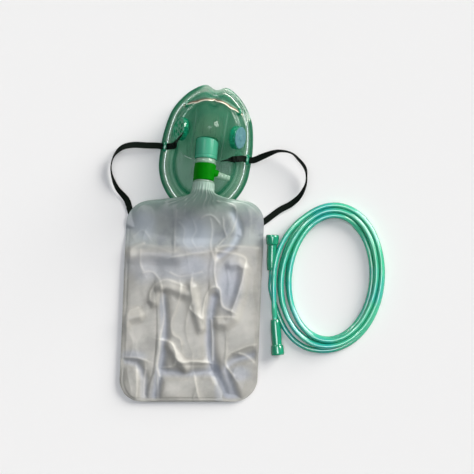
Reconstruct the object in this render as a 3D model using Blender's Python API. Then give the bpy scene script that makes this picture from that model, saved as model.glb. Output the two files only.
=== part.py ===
"""Oxygen face mask with its reservoir bag, head strap and coiled supply tubing, lying on a table.

Metres, +Z up, +Y towards the nose end. The origin is on the flat underside of the bag.
The mask lies with its open side down, and its port points along the bag and slightly upwards.
"""
import math

import bmesh
import bpy
from mathutils import Matrix, Vector

CLEARANCE = 0.0003

# Mask shell: one soft moulding with a rim, a dome, a port, valve seats and eyelets
MASK_LENGTH = 0.136
MASK_WIDTH = 0.096
MASK_WALL = 0.0014
MASK_CENTRE = Vector((0.0012, 0.0984, 0.0))
MASK_TURN = math.radians(-9)
MASK_RINGS = 13
# Right half of the outline from the nose notch to the chin, as shares of the half width and half length
MASK_OUTLINE = ((0, 0.92), (0.23, 0.98), (0.46, 0.90), (0.69, 0.74), (0.885, 0.50), (0.98, 0.18), (1, -0.12),
                (0.97, -0.41), (0.83, -0.66), (0.56, -0.88), (0.21, -0.99))
# Section of the rim, distance in from the edge and height, at the nose half and at the chin half
NOSE_RIM = ((0, 0.0012), (0.0022, 0.0029), (0.0052, 0.0047), (0.0072, 0.0049), (0.0102, 0.0118), (0.0135, 0.0165))
CHIN_RIM = ((0, 0.0012), (0.0022, 0.0029), (0.0062, 0.0053), (0.0085, 0.0043), (0.0125, 0.0080), (0.0148, 0.0092),
            (0.0178, 0.0178), (0.0200, 0.0190))
RIM_STEPS = (0, 0.0021, 0.0045, 0.0064, 0.0086, 0.0118, 0.0148, 0.0182)
RIM_BLEND = 0.012
DOME_BLEND = 0.008
# Height of the dome over its centre line, from the chin to the nose, by distance from the mask's centre
RIDGE = ((-0.050, 0.0190), (-0.030, 0.0205), (-0.0095, 0.0215), (-0.0035, 0.0262), (0.004, 0.0345), (0.010, 0.0425),
         (0.0155, 0.0472), (0.022, 0.0492), (0.029, 0.0462), (0.036, 0.0395), (0.042, 0.0315), (0.049, 0.0230))
NOSE_LIFT = 0.0055
NOSE_LIFT_WIDTH = 0.011

# Port of the mask and the connector's axis, which rises towards the bag
PORT_MOUTH = Vector((0.0010, -0.0118, 0.0362))
PORT_OUTER = 0.0118
PORT_BORE = 0.0103
PORT_DEPTH = 0.0235
PORT_ROUND = 0.0035
AXIS_YAW = math.radians(4.7)
AXIS_RISE = math.radians(10.5)
ROUND_STEPS = 28

# Exhalation valve seats on the two cheeks; only the right one still has its flap
SEAT_PLACE = (0.0290, 0.0165)
SEAT_RADIUS = 0.0122
SEAT_PROUD = 0.0040
SEAT_LEAN = math.radians(10)
SEAT_SINK = 0.0030
SEAT_RECESS = 0.0008
SEAT_RIM = 0.0018
SEAT_HOLES = 6
SEAT_HOLE_RADIUS = 0.0019
SEAT_HOLE_CIRCLE = 0.0062
SEAT_PIN_RADIUS = 0.0013
FLAP_RADIUS = 0.0114
FLAP_THICKNESS = 0.0008
FLAP_CROWN = 0.0006

# Head strap and the eyelets on the rim that hold it
STRAP_WIDTH = 0.0065
STRAP_THICKNESS = 0.0010
EYELET_INSET = 0.0042
EYELET_V = -0.0043
EYELET_BAR = 0.0013
EYELET_LENGTH = 0.0032
EYELET_GAP = 0.0008
STRAP_AT_EYELET = 0.0068
# Free loops: distance out from the eyelet, distance along +Y, height, turn of the ribbon in degrees
LEFT_LOOP = ((0.0070, 0.0010, 0.0066, 0), (0.0180, 0.0012, 0.0082, 0), (0.0330, 0.0017, 0.0090, 8),
             (0.0445, -0.0010, 0.0085, 35), (0.0525, -0.0085, 0.0068, 72), (0.0562, -0.0185, 0.0058, 84),
             (0.0555, -0.0300, 0.0054, 74), (0.0500, -0.0435, 0.0046, 45), (0.0400, -0.0560, 0.0026, 14))
RIGHT_LOOP = ((0.0065, -0.0005, 0.0066, 0), (0.0175, 0.0040, 0.0100, -20), (0.0320, 0.0088, 0.0138, -66),
              (0.0455, 0.0068, 0.0146, -80), (0.0540, -0.0005, 0.0132, -68), (0.0600, -0.0085, 0.0112, -66),
              (0.0618, -0.0180, 0.0088, -82), (0.0605, -0.0275, 0.0068, -72), (0.0545, -0.0385, 0.0048, -42),
              (0.0455, -0.0465, 0.0032, -14), (0.0335, -0.0530, 0.0018, -4))
# Where the strap runs under the bag, across and along from the middle of the bag's top edge
UNDER_BAG = ((-0.065, -0.0170), (-0.047, -0.0195), (-0.021, -0.0215), (0.009, -0.0222), (0.039, -0.0240),
             (0.061, -0.0285))
KNOT_SIZE = Vector((0.0040, 0.0030, 0.0062))
# Knot and loose end on each side in the mask's own axes: across, along, height over the mask, ribbon's turn
LEFT_END = ((-0.0395, -0.0035, 0.0040, 0), (-0.0350, -0.0025, 0.0066, 10), (-0.0320, 0.0018, 0.0088, 60),
            (-0.0300, 0.0056, 0.0152, 76), (-0.0267, 0.0108, 0.0190, 84))
RIGHT_END = ((0.0390, -0.0040, 0.0040, 0), (0.0355, -0.0050, 0.0062, 0), (0.0305, -0.0064, 0.0066, 6),
             (0.0230, -0.0085, 0.0058, 70), (0.0165, -0.0108, 0.0046, 86))
LEFT_KNOT = (-0.0350, -0.0025)
RIGHT_KNOT = (0.0305, -0.0064)

# Nose clip, an aluminium strip over the bridge of the nose
CLIP_WIDTH = 0.0048
CLIP_THICKNESS = 0.0007
CLIP_HALF_SPAN = MASK_WIDTH * 0.318
CLIP_CENTRE_V = MASK_LENGTH * 0.379
CLIP_DROP = 0.0105
CLIP_SEAT = 0.0008
CLIP_STEPS = 34
CLIP_LOOP_BAR = 0.0010
CLIP_LOOP_LENGTH = 0.0028
CLIP_LOOP_GAP = 0.0006
CLIP_LOOP_SHARE = 0.86

# Connector body, stations along the axis from the port's mouth
SPIGOT_IN = 0.0160
SPIGOT_WALL_GAP = 0.0003
TUBE_BORE = 0.0083
FLANGE_RADIUS = 0.01065
FLANGE_LENGTH = 0.0045
SLEEVE_RADIUS = 0.0096
COLLAR_LENGTH = 0.0178
COLLAR_RADIUS = 0.01125
LIP_RADIUS = 0.0109
LIP_LENGTH = 0.0018
SPIGOT_OUT = 0.0088
SPIGOT_OUT_RADIUS = 0.0099
SPIDER_BAR = 0.0012
SPIDER_PIN = 0.0011
SPIDER_HEAD = 0.0018
INLET_FLAP_RADIUS = 0.0090
INLET_FLAP_THICKNESS = 0.0005

# Oxygen barb on the connector's right side
BARB_STATION = 0.0078
BARB_LEAN = math.radians(11)
BARB_REACH = 0.0270
BARB_ROOT = 0.0039
BARB_TIP = 0.0029
BARB_BORE = 0.0015
BOSS_ROOT = 0.0068
BOSS_TIP = 0.0048
BOSS_REACH = 0.0146

# Reservoir bag: a welded film bag, nearly empty, gathered on the connector at its neck
BAG_LENGTH = 0.211
BAG_HALF_WIDTH = 0.0722
BAG_LEAN = math.radians(-2.4)
BAG_CORNER = 0.024
BAG_FROM_NECK = Vector((-0.0078, -0.0087))
NECK_SHIFT_REACH = 0.035
BAG_SEAM = 0.0006
BAG_FULLNESS = 0.0034
NECK_FILM = 0.0011
NECK_GAP = 0.0003
BAG_COLUMNS = 28
BAG_ROWS = 23
CORNER_ROWS = 5
# Rows of the flare: centre down from the top edge, centre height, half thickness, side down, side out, side height
FLARE = ((-0.0068, 0.0406, 0.0100, -0.0068, 0.0132, 0.0398), (-0.0042, 0.0380, 0.0088, -0.0050, 0.0172, 0.0350),
         (-0.0008, 0.0342, 0.0076, -0.0035, 0.0235, 0.0275), (0.0032, 0.0288, 0.0064, -0.0022, 0.0315, 0.0195),
         (0.0074, 0.0232, 0.0052, -0.0010, 0.0405, 0.0130))
# Rows round the top corners: centre down from the top edge, centre height, half thickness, side height
SHOULDER = ((0.0120, 0.0180, 0.0046, 0.0085), (0.0170, 0.0138, 0.0042, 0.0050), (0.0222, 0.0102, 0.0040, 0.0026),
            (0.0275, 0.0072, 0.0038, 0.0012), (0.0330, 0.0050, 0.0036, 0.0006))
# Folds of the film: height (a valley is negative), half width, then points across and down in the folds' own axes,
# which start below the middle of the top edge and are turned with the bag's sides
FOLDS = ((-0.0032, 0.0050, ((-0.033, 0.092), (-0.029, 0.122), (-0.029, 0.152), (-0.033, 0.178), (-0.036, 0.202))),
         (0.0030, 0.0052, ((-0.041, 0.100), (-0.035, 0.087), (-0.025, 0.085), (-0.008, 0.091))),
         (0.0030, 0.0046, ((-0.001, 0.084), (0.004, 0.108), (0.010, 0.126))),
         (-0.0034, 0.0056, ((0.022, 0.094), (0.018, 0.123), (0.021, 0.154), (0.027, 0.170), (0.042, 0.200))),
         (-0.0026, 0.0050, ((-0.024, 0.174), (0.000, 0.174), (0.024, 0.171))),
         (0.0024, 0.0044, ((-0.024, 0.146), (-0.012, 0.160), (-0.005, 0.170))),
         (0.0030, 0.0050, ((0.038, 0.058), (0.052, 0.062), (0.043, 0.114), (0.028, 0.120))),
         (-0.0026, 0.0048, ((0.066, 0.152), (0.046, 0.158), (0.038, 0.166), (0.040, 0.174), (0.051, 0.202))),
         (0.0028, 0.0050, ((-0.074, 0.132), (-0.068, 0.120), (-0.056, 0.116))),
         (-0.0024, 0.0046, ((-0.072, 0.164), (-0.056, 0.166), (-0.048, 0.182), (-0.047, 0.204))),
         (0.0030, 0.0080, ((-0.066, 0.052), (-0.048, 0.050), (-0.020, 0.052))),
         (-0.0030, 0.0045, ((0.038, 0.004), (0.043, 0.014), (0.045, 0.026), (0.038, 0.040), (0.026, 0.050))))
FOLDS_START = Vector((0.0013, -0.0074))
STRAP_RELIEF = 0.0010
FILM_OVER_MASK = 0.0012
LIFT_FLAT = 0.005
LIFT_SLOPE = 0.45
STRAP_LIFT_FLAT = 0.009
STRAP_LIFT_FALL = 0.007
FLARE_REACH = 0.020
SEAM_FADE = 0.006

# Supply tubing: an oval coil, two leads and a funnel connector on each end
TUBE_DIAMETER = 0.0055
COIL_CENTRE = Vector((0.1320, -0.0354, 0.0))
COIL_HALF_X = 0.0487
COIL_HALF_Y = 0.0704
COIL_TURN = math.radians(-5)
COIL_COLUMNS = 3
COIL_LAYERS = 2
COIL_STEPS = 44
# Routes of the leads from their connector to the coil, chosen by hand
LEAD_A = ((0.0690, -0.0290, 0.0051), (0.0689, -0.0325, 0.0049), (0.0684, -0.0390, 0.0036), (0.0682, -0.0470, 0.0029),
          (0.0700, -0.0560, 0.0028), (0.0731, -0.0660, 0.0028), (0.0764, -0.0760, 0.0028))
LEAD_B = ((0.0726, -0.0800, 0.0068), (0.0724, -0.0775, 0.0069), (0.0720, -0.0735, 0.0080), (0.0716, -0.0670, 0.0093),
          (0.0713, -0.0560, 0.0094), (0.0712, -0.0460, 0.0092), (0.0715, -0.0370, 0.0090))
FUNNEL_LENGTH = 0.0375
FUNNEL_MOUTH = 0.0068
FUNNEL_RIM = 0.0095
FUNNEL_BODY = 0.0054
FUNNEL_SOCKET = 0.0046
FUNNEL_SOCKET_DEPTH = 0.0180
FUNNEL_GRIP = 0.0060


def smoothstep(x):
    x = min(1.0, max(0.0, x))
    return x * x * (3 - 2 * x)


def curve_value(knots, x):
    """Height at x of a smooth curve through the knots that never overshoots them."""
    if x <= knots[0][0]:
        return knots[0][1]
    if x >= knots[-1][0]:
        return knots[-1][1]
    i = next(k for k in range(len(knots) - 1) if x <= knots[k + 1][0])
    rise = [(b[1] - a[1]) / (b[0] - a[0]) for a, b in zip(knots, knots[1:])]

    def slope(k):
        if k == 0 or k == len(rise):
            return rise[min(k, len(rise) - 1)]
        before, after = rise[k - 1], rise[k]
        return 0.0 if before * after <= 0 else 2 * before * after / (before + after)

    (x0, y0), (x1, y1) = knots[i], knots[i + 1]
    width = x1 - x0
    t = (x - x0) / width
    return ((1 + 2 * t) * (1 - t) ** 2 * y0 + t * (1 - t) ** 2 * width * slope(i)
            + t * t * (3 - 2 * t) * y1 + t * t * (t - 1) * width * slope(i + 1))


def spline(points, steps, closed=False):
    """Points along a smooth curve through the given points, steps to each span."""
    count = len(points)
    spans = count if closed else count - 1
    result = []
    for i in range(spans):
        if closed:
            p0, p1, p2, p3 = (points[(i + k) % count] for k in (-1, 0, 1, 2))
        else:
            p0, p1, p2, p3 = (points[min(max(i + k, 0), count - 1)] for k in (-1, 0, 1, 2))
        for k in range(steps):
            t = k / steps
            result.append((p1 * 2 + (p2 - p0) * t + (p0 * 2 - p1 * 5 + p2 * 4 - p3) * t * t
                           + (p1 * 3 - p0 - p2 * 3 + p3) * t ** 3) / 2)
    if not closed:
        result.append(points[-1].copy())
    return result


def clear_scene():
    for existing in list(bpy.data.objects):
        bpy.data.objects.remove(existing, do_unlink=True)


def make_material(name, colour, roughness, metallic=0.0, transmission=0.0):
    material = bpy.data.materials.new(name)
    material.use_nodes = True
    shader = material.node_tree.nodes["Principled BSDF"]
    shader.inputs["Base Color"].default_value = (*colour, 1.0)
    shader.inputs["Roughness"].default_value = roughness
    shader.inputs["Metallic"].default_value = metallic
    shader.inputs["Transmission Weight"].default_value = transmission
    return material


def finish_object(name, bm, material, matrix=Matrix(), sharp=math.radians(40)):
    """Closes the work on a bmesh and links it as a smooth-shaded object."""
    bmesh.ops.remove_doubles(bm, verts=bm.verts, dist=1e-6)
    bmesh.ops.recalc_face_normals(bm, faces=bm.faces)
    mesh = bpy.data.meshes.new(name)
    bm.to_mesh(mesh)
    bm.free()
    mesh.shade_smooth()
    mesh.set_sharp_from_angle(angle=sharp)
    item = bpy.data.objects.new(name, mesh)
    item.matrix_world = matrix
    if material:
        mesh.materials.append(material)
    bpy.context.scene.collection.objects.link(item)
    return item


def make_helper(name, bm):
    """A cutter or an addition that only a Boolean reads."""
    item = finish_object(name, bm, None)
    item.hide_render = True
    item.display_type = "WIRE"
    return item


def add_boolean(item, helper, operation):
    modifier = item.modifiers.new(helper.name, "BOOLEAN")
    modifier.operation = operation
    modifier.solver = "EXACT"
    modifier.object = helper


def lathe(bm, profile, matrix=Matrix(), steps=ROUND_STEPS):
    """Spins a profile of (radius, station) points about the local Z axis, closed unless it ends on the axis."""
    start = [bm.verts.new((radius, 0.0, station)) for radius, station in profile]
    edges = [bm.edges.new(pair) for pair in zip(start, start[1:])]
    if profile[0][0] > 0:
        edges.append(bm.edges.new((start[-1], start[0])))
    bmesh.ops.spin(bm, geom=start + edges, cent=(0, 0, 0), axis=(0, 0, 1), angle=math.tau, steps=steps)
    fresh = [vert for vert in bm.verts if not vert.tag]
    bmesh.ops.remove_doubles(bm, verts=fresh, dist=1e-7)
    fresh = [vert for vert in bm.verts if not vert.tag]
    bmesh.ops.transform(bm, matrix=matrix, verts=fresh)
    for vert in fresh:
        vert.tag = True


def add_box(bm, size, matrix):
    fresh = bmesh.ops.create_cube(bm, size=1.0)["verts"]
    bmesh.ops.transform(bm, matrix=matrix @ Matrix.Diagonal((*size, 1.0)), verts=fresh)
    for vert in fresh:
        vert.tag = True


def add_loft(bm, rings, capped=True, looped=False):
    """Skins a row of vertex rings of equal length."""
    rows = [[bm.verts.new(point) for point in ring] for ring in rings]
    pairs = list(zip(rows, rows[1:]))
    if looped:
        pairs.append((rows[-1], rows[0]))
    for row, following in pairs:
        count = len(row)
        for k in range(count):
            bm.faces.new((row[k], row[(k + 1) % count], following[(k + 1) % count], following[k]))
    if capped and not looped:
        bm.faces.new(rows[0])
        bm.faces.new(rows[-1])
    for row in rows:
        for vert in row:
            vert.tag = True


def frame_from(origin, along, up):
    """Matrix with its Z axis along the first direction and its Y axis near the second."""
    z_axis = along.normalized()
    x_axis = up.cross(z_axis).normalized()
    y_axis = z_axis.cross(x_axis)
    rotation = Matrix((x_axis, y_axis, z_axis)).transposed().to_4x4()
    return Matrix.Translation(origin) @ rotation


# The mask's surface


def mask_outline():
    """Closed outline, clockwise from the notch at the nose, as fine points about the mask's centre."""
    half = [Vector((across * MASK_WIDTH / 2, along * MASK_LENGTH / 2)) for across, along in MASK_OUTLINE]
    chin = Vector((0.0, -MASK_LENGTH / 2))
    left = [Vector((-p.x, p.y)) for p in reversed(half[1:])]
    return spline(half + [chin] + left, 16, closed=True)


OUTLINE = mask_outline()
OUTLINE_BY_ANGLE = sorted((math.atan2(p.x, p.y), p.length) for p in OUTLINE)
MASK_FRAME = Matrix.Translation(MASK_CENTRE) @ Matrix.Rotation(MASK_TURN, 4, "Z")
MASK_INVERSE = MASK_FRAME.inverted()


def outline_radius(u, v):
    """Distance from the mask's centre to its edge in the direction of a point."""
    angle = math.atan2(u, v)
    table = OUTLINE_BY_ANGLE
    low, high = 0, len(table) - 1
    if angle <= table[0][0] or angle >= table[-1][0]:
        return (table[0][1] + table[-1][1]) / 2
    while high - low > 1:
        middle = (low + high) // 2
        if table[middle][0] <= angle:
            low = middle
        else:
            high = middle
    share = (angle - table[low][0]) / (table[high][0] - table[low][0])
    return table[low][1] * (1 - share) + table[high][1] * share


def half_width(v):
    """Half the mask's width at a distance along it."""
    right = [p for p in OUTLINE if p.x >= 0]
    best = min(right, key=lambda p: abs(p.y - v))
    return best.x


WIDTH_TABLE = [(v / 100 * MASK_LENGTH, half_width(v / 100 * MASK_LENGTH)) for v in range(-50, 51, 2)]


def mask_height(u, v):
    """Height of the mask's outer surface over a point in the mask's own axes."""
    inset = outline_radius(u, v) - math.hypot(u, v)
    nose = smoothstep((v + RIM_BLEND) / (2 * RIM_BLEND))
    rim = nose * curve_value(NOSE_RIM, inset) + (1 - nose) * curve_value(CHIN_RIM, inset)
    wall_inset = nose * NOSE_RIM[-1][0] + (1 - nose) * CHIN_RIM[-1][0]
    wall_top = nose * NOSE_RIM[-1][1] + (1 - nose) * CHIN_RIM[-1][1]
    room = max(curve_value(WIDTH_TABLE, v) - wall_inset, 0.004)
    across = min(1.0, abs(u) / room)
    crown = 0.5 + 0.5 * math.cos(math.pi * across ** 1.3)
    dome = max(0.0, curve_value(RIDGE, v) - wall_top) * crown
    bridge = smoothstep((v / MASK_LENGTH - 0.28) / 0.16)
    lift = NOSE_LIFT * math.exp(-(u / NOSE_LIFT_WIDTH) ** 2) * bridge
    return rim + lift + dome * smoothstep((inset - wall_inset) / DOME_BLEND)


def mask_normal(u, v, step=0.0008):
    slope_u = (mask_height(u + step, v) - mask_height(u - step, v)) / (2 * step)
    slope_v = (mask_height(u, v + step) - mask_height(u, v - step)) / (2 * step)
    return Vector((-slope_u, -slope_v, 1.0)).normalized()


def on_mask(u, v, proud=0.0):
    """World point on the mask's outer surface, or proud of it."""
    point = Vector((u, v, mask_height(u, v))) + mask_normal(u, v) * proud
    return MASK_FRAME @ point


def ring_places(ring):
    """Grid places round one square ring, clockwise from the middle of its top side."""
    places = [(k, ring) for k in range(ring)]
    places += [(ring, k) for k in range(ring, -ring, -1)]
    places += [(k, -ring) for k in range(ring, -ring, -1)]
    places += [(-ring, k) for k in range(-ring, ring)]
    places += [(k, ring) for k in range(-ring, 0)]
    return places


def mask_grid():
    """Square grid of vertices whose rings follow the outline inwards."""
    lengths = [0.0]
    for a, b in zip(OUTLINE, OUTLINE[1:] + OUTLINE[:1]):
        lengths.append(lengths[-1] + (b - a).length)
    total = lengths[-1]
    bm = bmesh.new()
    verts = {(0, 0): bm.verts.new((0, 0, mask_height(0, 1e-5)))}
    inner = MASK_RINGS - len(RIM_STEPS) + 1
    for ring in range(1, MASK_RINGS + 1):
        places = ring_places(ring)
        for k, place in enumerate(places):
            target = total * k / len(places)
            i = next(n for n in range(len(OUTLINE)) if lengths[n + 1] >= target)
            share = (target - lengths[i]) / (lengths[i + 1] - lengths[i])
            edge = OUTLINE[i].lerp(OUTLINE[(i + 1) % len(OUTLINE)], share)
            if ring >= inner:
                point = edge * (1 - RIM_STEPS[MASK_RINGS - ring] / edge.length)
            else:
                point = edge * (1 - RIM_STEPS[-1] / edge.length) * (ring / inner)
            verts[place] = bm.verts.new((point.x, point.y, mask_height(point.x, point.y)))
    for i in range(-MASK_RINGS, MASK_RINGS):
        for j in range(-MASK_RINGS, MASK_RINGS):
            bm.faces.new((verts[i, j], verts[i + 1, j], verts[i + 1, j + 1], verts[i, j + 1]))
    return bm


def axis_frame():
    """Frame at the port's mouth: Z along the connector towards the bag, X to the right, Y up."""
    along = Vector((-math.sin(AXIS_YAW) * math.cos(AXIS_RISE), -math.cos(AXIS_YAW) * math.cos(AXIS_RISE),
                    math.sin(AXIS_RISE)))
    frame = frame_from(MASK_FRAME @ PORT_MOUTH, along, Vector((0, 0, 1)))
    return frame


AXIS = axis_frame()


def seat_frame(side):
    """Frame on a cheek's valve seat, Z out of the cheek, and its origin on the seat's face."""
    u, v = side * SEAT_PLACE[0], SEAT_PLACE[1]
    lean = Matrix.Rotation(side * SEAT_LEAN, 3, "Y")
    normal = MASK_FRAME.to_3x3() @ lean @ mask_normal(u, v, SEAT_RADIUS * 0.7)
    return frame_from(on_mask(u, v) + normal * SEAT_PROUD, normal, Vector((0, 1, 0)))


def staple(bm, frame, span, height, bar, length):
    """A moulded loop: two posts and a bar, with its foot sunk in the surface."""
    sink = MASK_WALL * 0.6
    half = span / 2 + bar
    corner = bar * 0.6
    outline = ((-half, -sink), (-half, height), (-half + corner, height + bar), (half - corner, height + bar),
               (half, height), (half, -sink), (half - bar, -sink), (half - bar, height), (-half + bar, height),
               (-half + bar, -sink))
    faces = []
    for end in (-length / 2, length / 2):
        faces.append([bm.verts.new(frame @ Vector((end, y, z))) for y, z in outline])
    count = len(outline)
    for k in range(count):
        bm.faces.new((faces[0][k], faces[0][(k + 1) % count], faces[1][(k + 1) % count], faces[1][k]))
    bm.faces.new(faces[0])
    bm.faces.new(faces[1])
    for ring in faces:
        for vert in ring:
            vert.tag = True


def eyelet_u(side):
    return side * (curve_value(WIDTH_TABLE, EYELET_V) - EYELET_INSET)


def make_mask(material):
    shell = finish_object("mask_shell", mask_grid(), material, MASK_FRAME, sharp=math.radians(60))
    solidify = shell.modifiers.new("wall", "SOLIDIFY")
    solidify.thickness = MASK_WALL
    solidify.offset = -1
    solidify.use_even_offset = True

    additions = bmesh.new()
    lathe(additions, ((0, -PORT_DEPTH), (PORT_OUTER - PORT_ROUND, -PORT_DEPTH),
                      (PORT_OUTER - PORT_ROUND * 0.3, -PORT_DEPTH + PORT_ROUND * 0.3),
                      (PORT_OUTER, -PORT_DEPTH + PORT_ROUND), (PORT_OUTER, 0), (0, 0)), AXIS)
    for side in (-1, 1):
        lathe(additions, ((0, -SEAT_SINK - SEAT_PROUD), (SEAT_RADIUS, -SEAT_SINK - SEAT_PROUD), (SEAT_RADIUS, 0),
                          (0, 0)), seat_frame(side), 24)
        u = eyelet_u(side)
        foot = MASK_FRAME @ Matrix.Translation((u, EYELET_V, mask_height(u, EYELET_V)))
        clear_height = STRAP_AT_EYELET + STRAP_THICKNESS / 2 + EYELET_GAP - mask_height(u, EYELET_V)
        staple(additions, foot, STRAP_WIDTH + 2 * EYELET_GAP, clear_height, EYELET_BAR, EYELET_LENGTH)
        holder = clip_frame(side * CLIP_LOOP_SHARE)
        staple(additions, holder, CLIP_WIDTH + 2 * CLIP_LOOP_GAP, clip_seat(holder) + CLIP_THICKNESS + CLIP_LOOP_GAP,
               CLIP_LOOP_BAR, CLIP_LOOP_LENGTH)
    add_boolean(shell, make_helper("mask_mouldings", additions), "UNION")

    cuts = bmesh.new()
    lathe(cuts, ((0, -PORT_DEPTH - 0.004), (PORT_BORE, -PORT_DEPTH - 0.004), (PORT_BORE, 0.002), (0, 0.002)), AXIS)
    for side in (-1, 1):
        frame = seat_frame(side)
        deep = -SEAT_SINK - SEAT_PROUD - 0.002
        lathe(cuts, ((0, -SEAT_RECESS), (SEAT_RADIUS - SEAT_RIM, -SEAT_RECESS), (SEAT_RADIUS - SEAT_RIM, 0.001),
                     (0, 0.001)), frame, 24)
        for k in range(SEAT_HOLES):
            turn = Matrix.Rotation(math.tau * (k + 0.5) / SEAT_HOLES, 4, "Z")
            place = frame @ turn @ Matrix.Translation((SEAT_HOLE_CIRCLE, 0, 0))
            lathe(cuts, ((0, deep), (SEAT_HOLE_RADIUS, deep), (SEAT_HOLE_RADIUS, 0.0005), (0, 0.0005)), place, 8)
        lathe(cuts, ((0, deep), (SEAT_PIN_RADIUS, deep), (SEAT_PIN_RADIUS, 0.0005), (0, 0.0005)), frame, 8)
    add_boolean(shell, make_helper("mask_cuts", cuts), "DIFFERENCE")


def make_exhalation_flap(material):
    """Thin disc with a stem that is pulled through the middle hole of the right seat."""
    frame = seat_frame(1)
    seat = CLEARANCE
    stem = SEAT_PIN_RADIUS - CLEARANCE
    inside = -SEAT_SINK - SEAT_PROUD - CLEARANCE
    bm = bmesh.new()
    lathe(bm, ((0, inside - 0.0018), (stem * 1.2, inside - 0.0014), (SEAT_PIN_RADIUS * 1.35, inside), (stem, inside),
               (stem, seat), (FLAP_RADIUS, seat), (FLAP_RADIUS, seat + FLAP_THICKNESS * 0.6),
               (FLAP_RADIUS * 0.94, seat + FLAP_THICKNESS), (FLAP_RADIUS * 0.3, seat + FLAP_THICKNESS),
               (FLAP_RADIUS * 0.2, seat + FLAP_THICKNESS + FLAP_CROWN), (0, seat + FLAP_THICKNESS + FLAP_CROWN)),
          frame, 20)
    finish_object("exhalation_flap", bm, material)


# Nose clip


def clip_path(share):
    """Place of the clip's middle line in the mask's axes, for a share of its half span from -1 to 1."""
    return share * CLIP_HALF_SPAN, CLIP_CENTRE_V - CLIP_DROP * abs(share) ** 1.6


def clip_side(share):
    """Unit direction across the strip, in the mask's axes and in plan."""
    step = 0.02
    ahead = Vector(clip_path(min(share + step, 1.0)))
    behind = Vector(clip_path(max(share - step, -1.0)))
    along = (ahead - behind).normalized()
    return Vector((-along.y, along.x))


def clip_frame(share):
    """Frame on the mask under the clip: X along the strip, Y across it, Z out of the mask."""
    u, v = clip_path(share)
    side = clip_side(share)
    normal = mask_normal(u, v, CLIP_WIDTH * 0.4)
    across = (Vector((side.x, side.y, 0)) - normal * normal.dot(Vector((side.x, side.y, 0)))).normalized()
    along = across.cross(normal)
    rotation = Matrix((along, across, normal)).transposed().to_4x4()
    return MASK_FRAME @ Matrix.Translation((u, v, mask_height(u, v))) @ rotation


def clip_seat(frame):
    """Height over the frame at which the strip clears the mask's surface all across."""
    inverse = frame.inverted()
    highest = 0.0
    for k in range(-3, 4):
        local = MASK_INVERSE @ (frame @ Vector((0, k / 3 * CLIP_WIDTH * 0.55, 0)))
        highest = max(highest, (inverse @ on_mask(local.x, local.y)).z)
    return highest + CLIP_SEAT


def make_nose_clip(material):
    rings = []
    for k in range(CLIP_STEPS + 1):
        share = -1 + 2 * k / CLIP_STEPS
        frame = clip_frame(share)
        narrow = 1 - 0.35 * smoothstep((abs(share) - 0.93) / 0.07)
        half = CLIP_WIDTH / 2 * narrow
        low = clip_seat(frame)
        high = low + CLIP_THICKNESS
        rings.append([frame @ Vector((0, y, z)) for y, z in ((-half, low), (half, low), (half, high), (-half, high))])
    bm = bmesh.new()
    add_loft(bm, rings)
    finish_object("nose_clip", bm, material)


# Connector: stations along its axis


FLANGE_END = CLEARANCE + FLANGE_LENGTH
COLLAR_START = FLANGE_END + CLEARANCE
COLLAR_END = COLLAR_START + COLLAR_LENGTH
LIP_START = COLLAR_END + CLEARANCE
LIP_END = LIP_START + LIP_LENGTH
BODY_END = LIP_END + SPIGOT_OUT
BARB_AXIS_STATION = COLLAR_START + BARB_STATION


def barb_frame():
    """Frame on the connector's axis with Z along the barb."""
    outward = Vector((math.cos(BARB_LEAN), 0, math.sin(BARB_LEAN)))
    return AXIS @ frame_from(Vector((0, 0, BARB_AXIS_STATION)), outward, Vector((0, 1, 0)))


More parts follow.
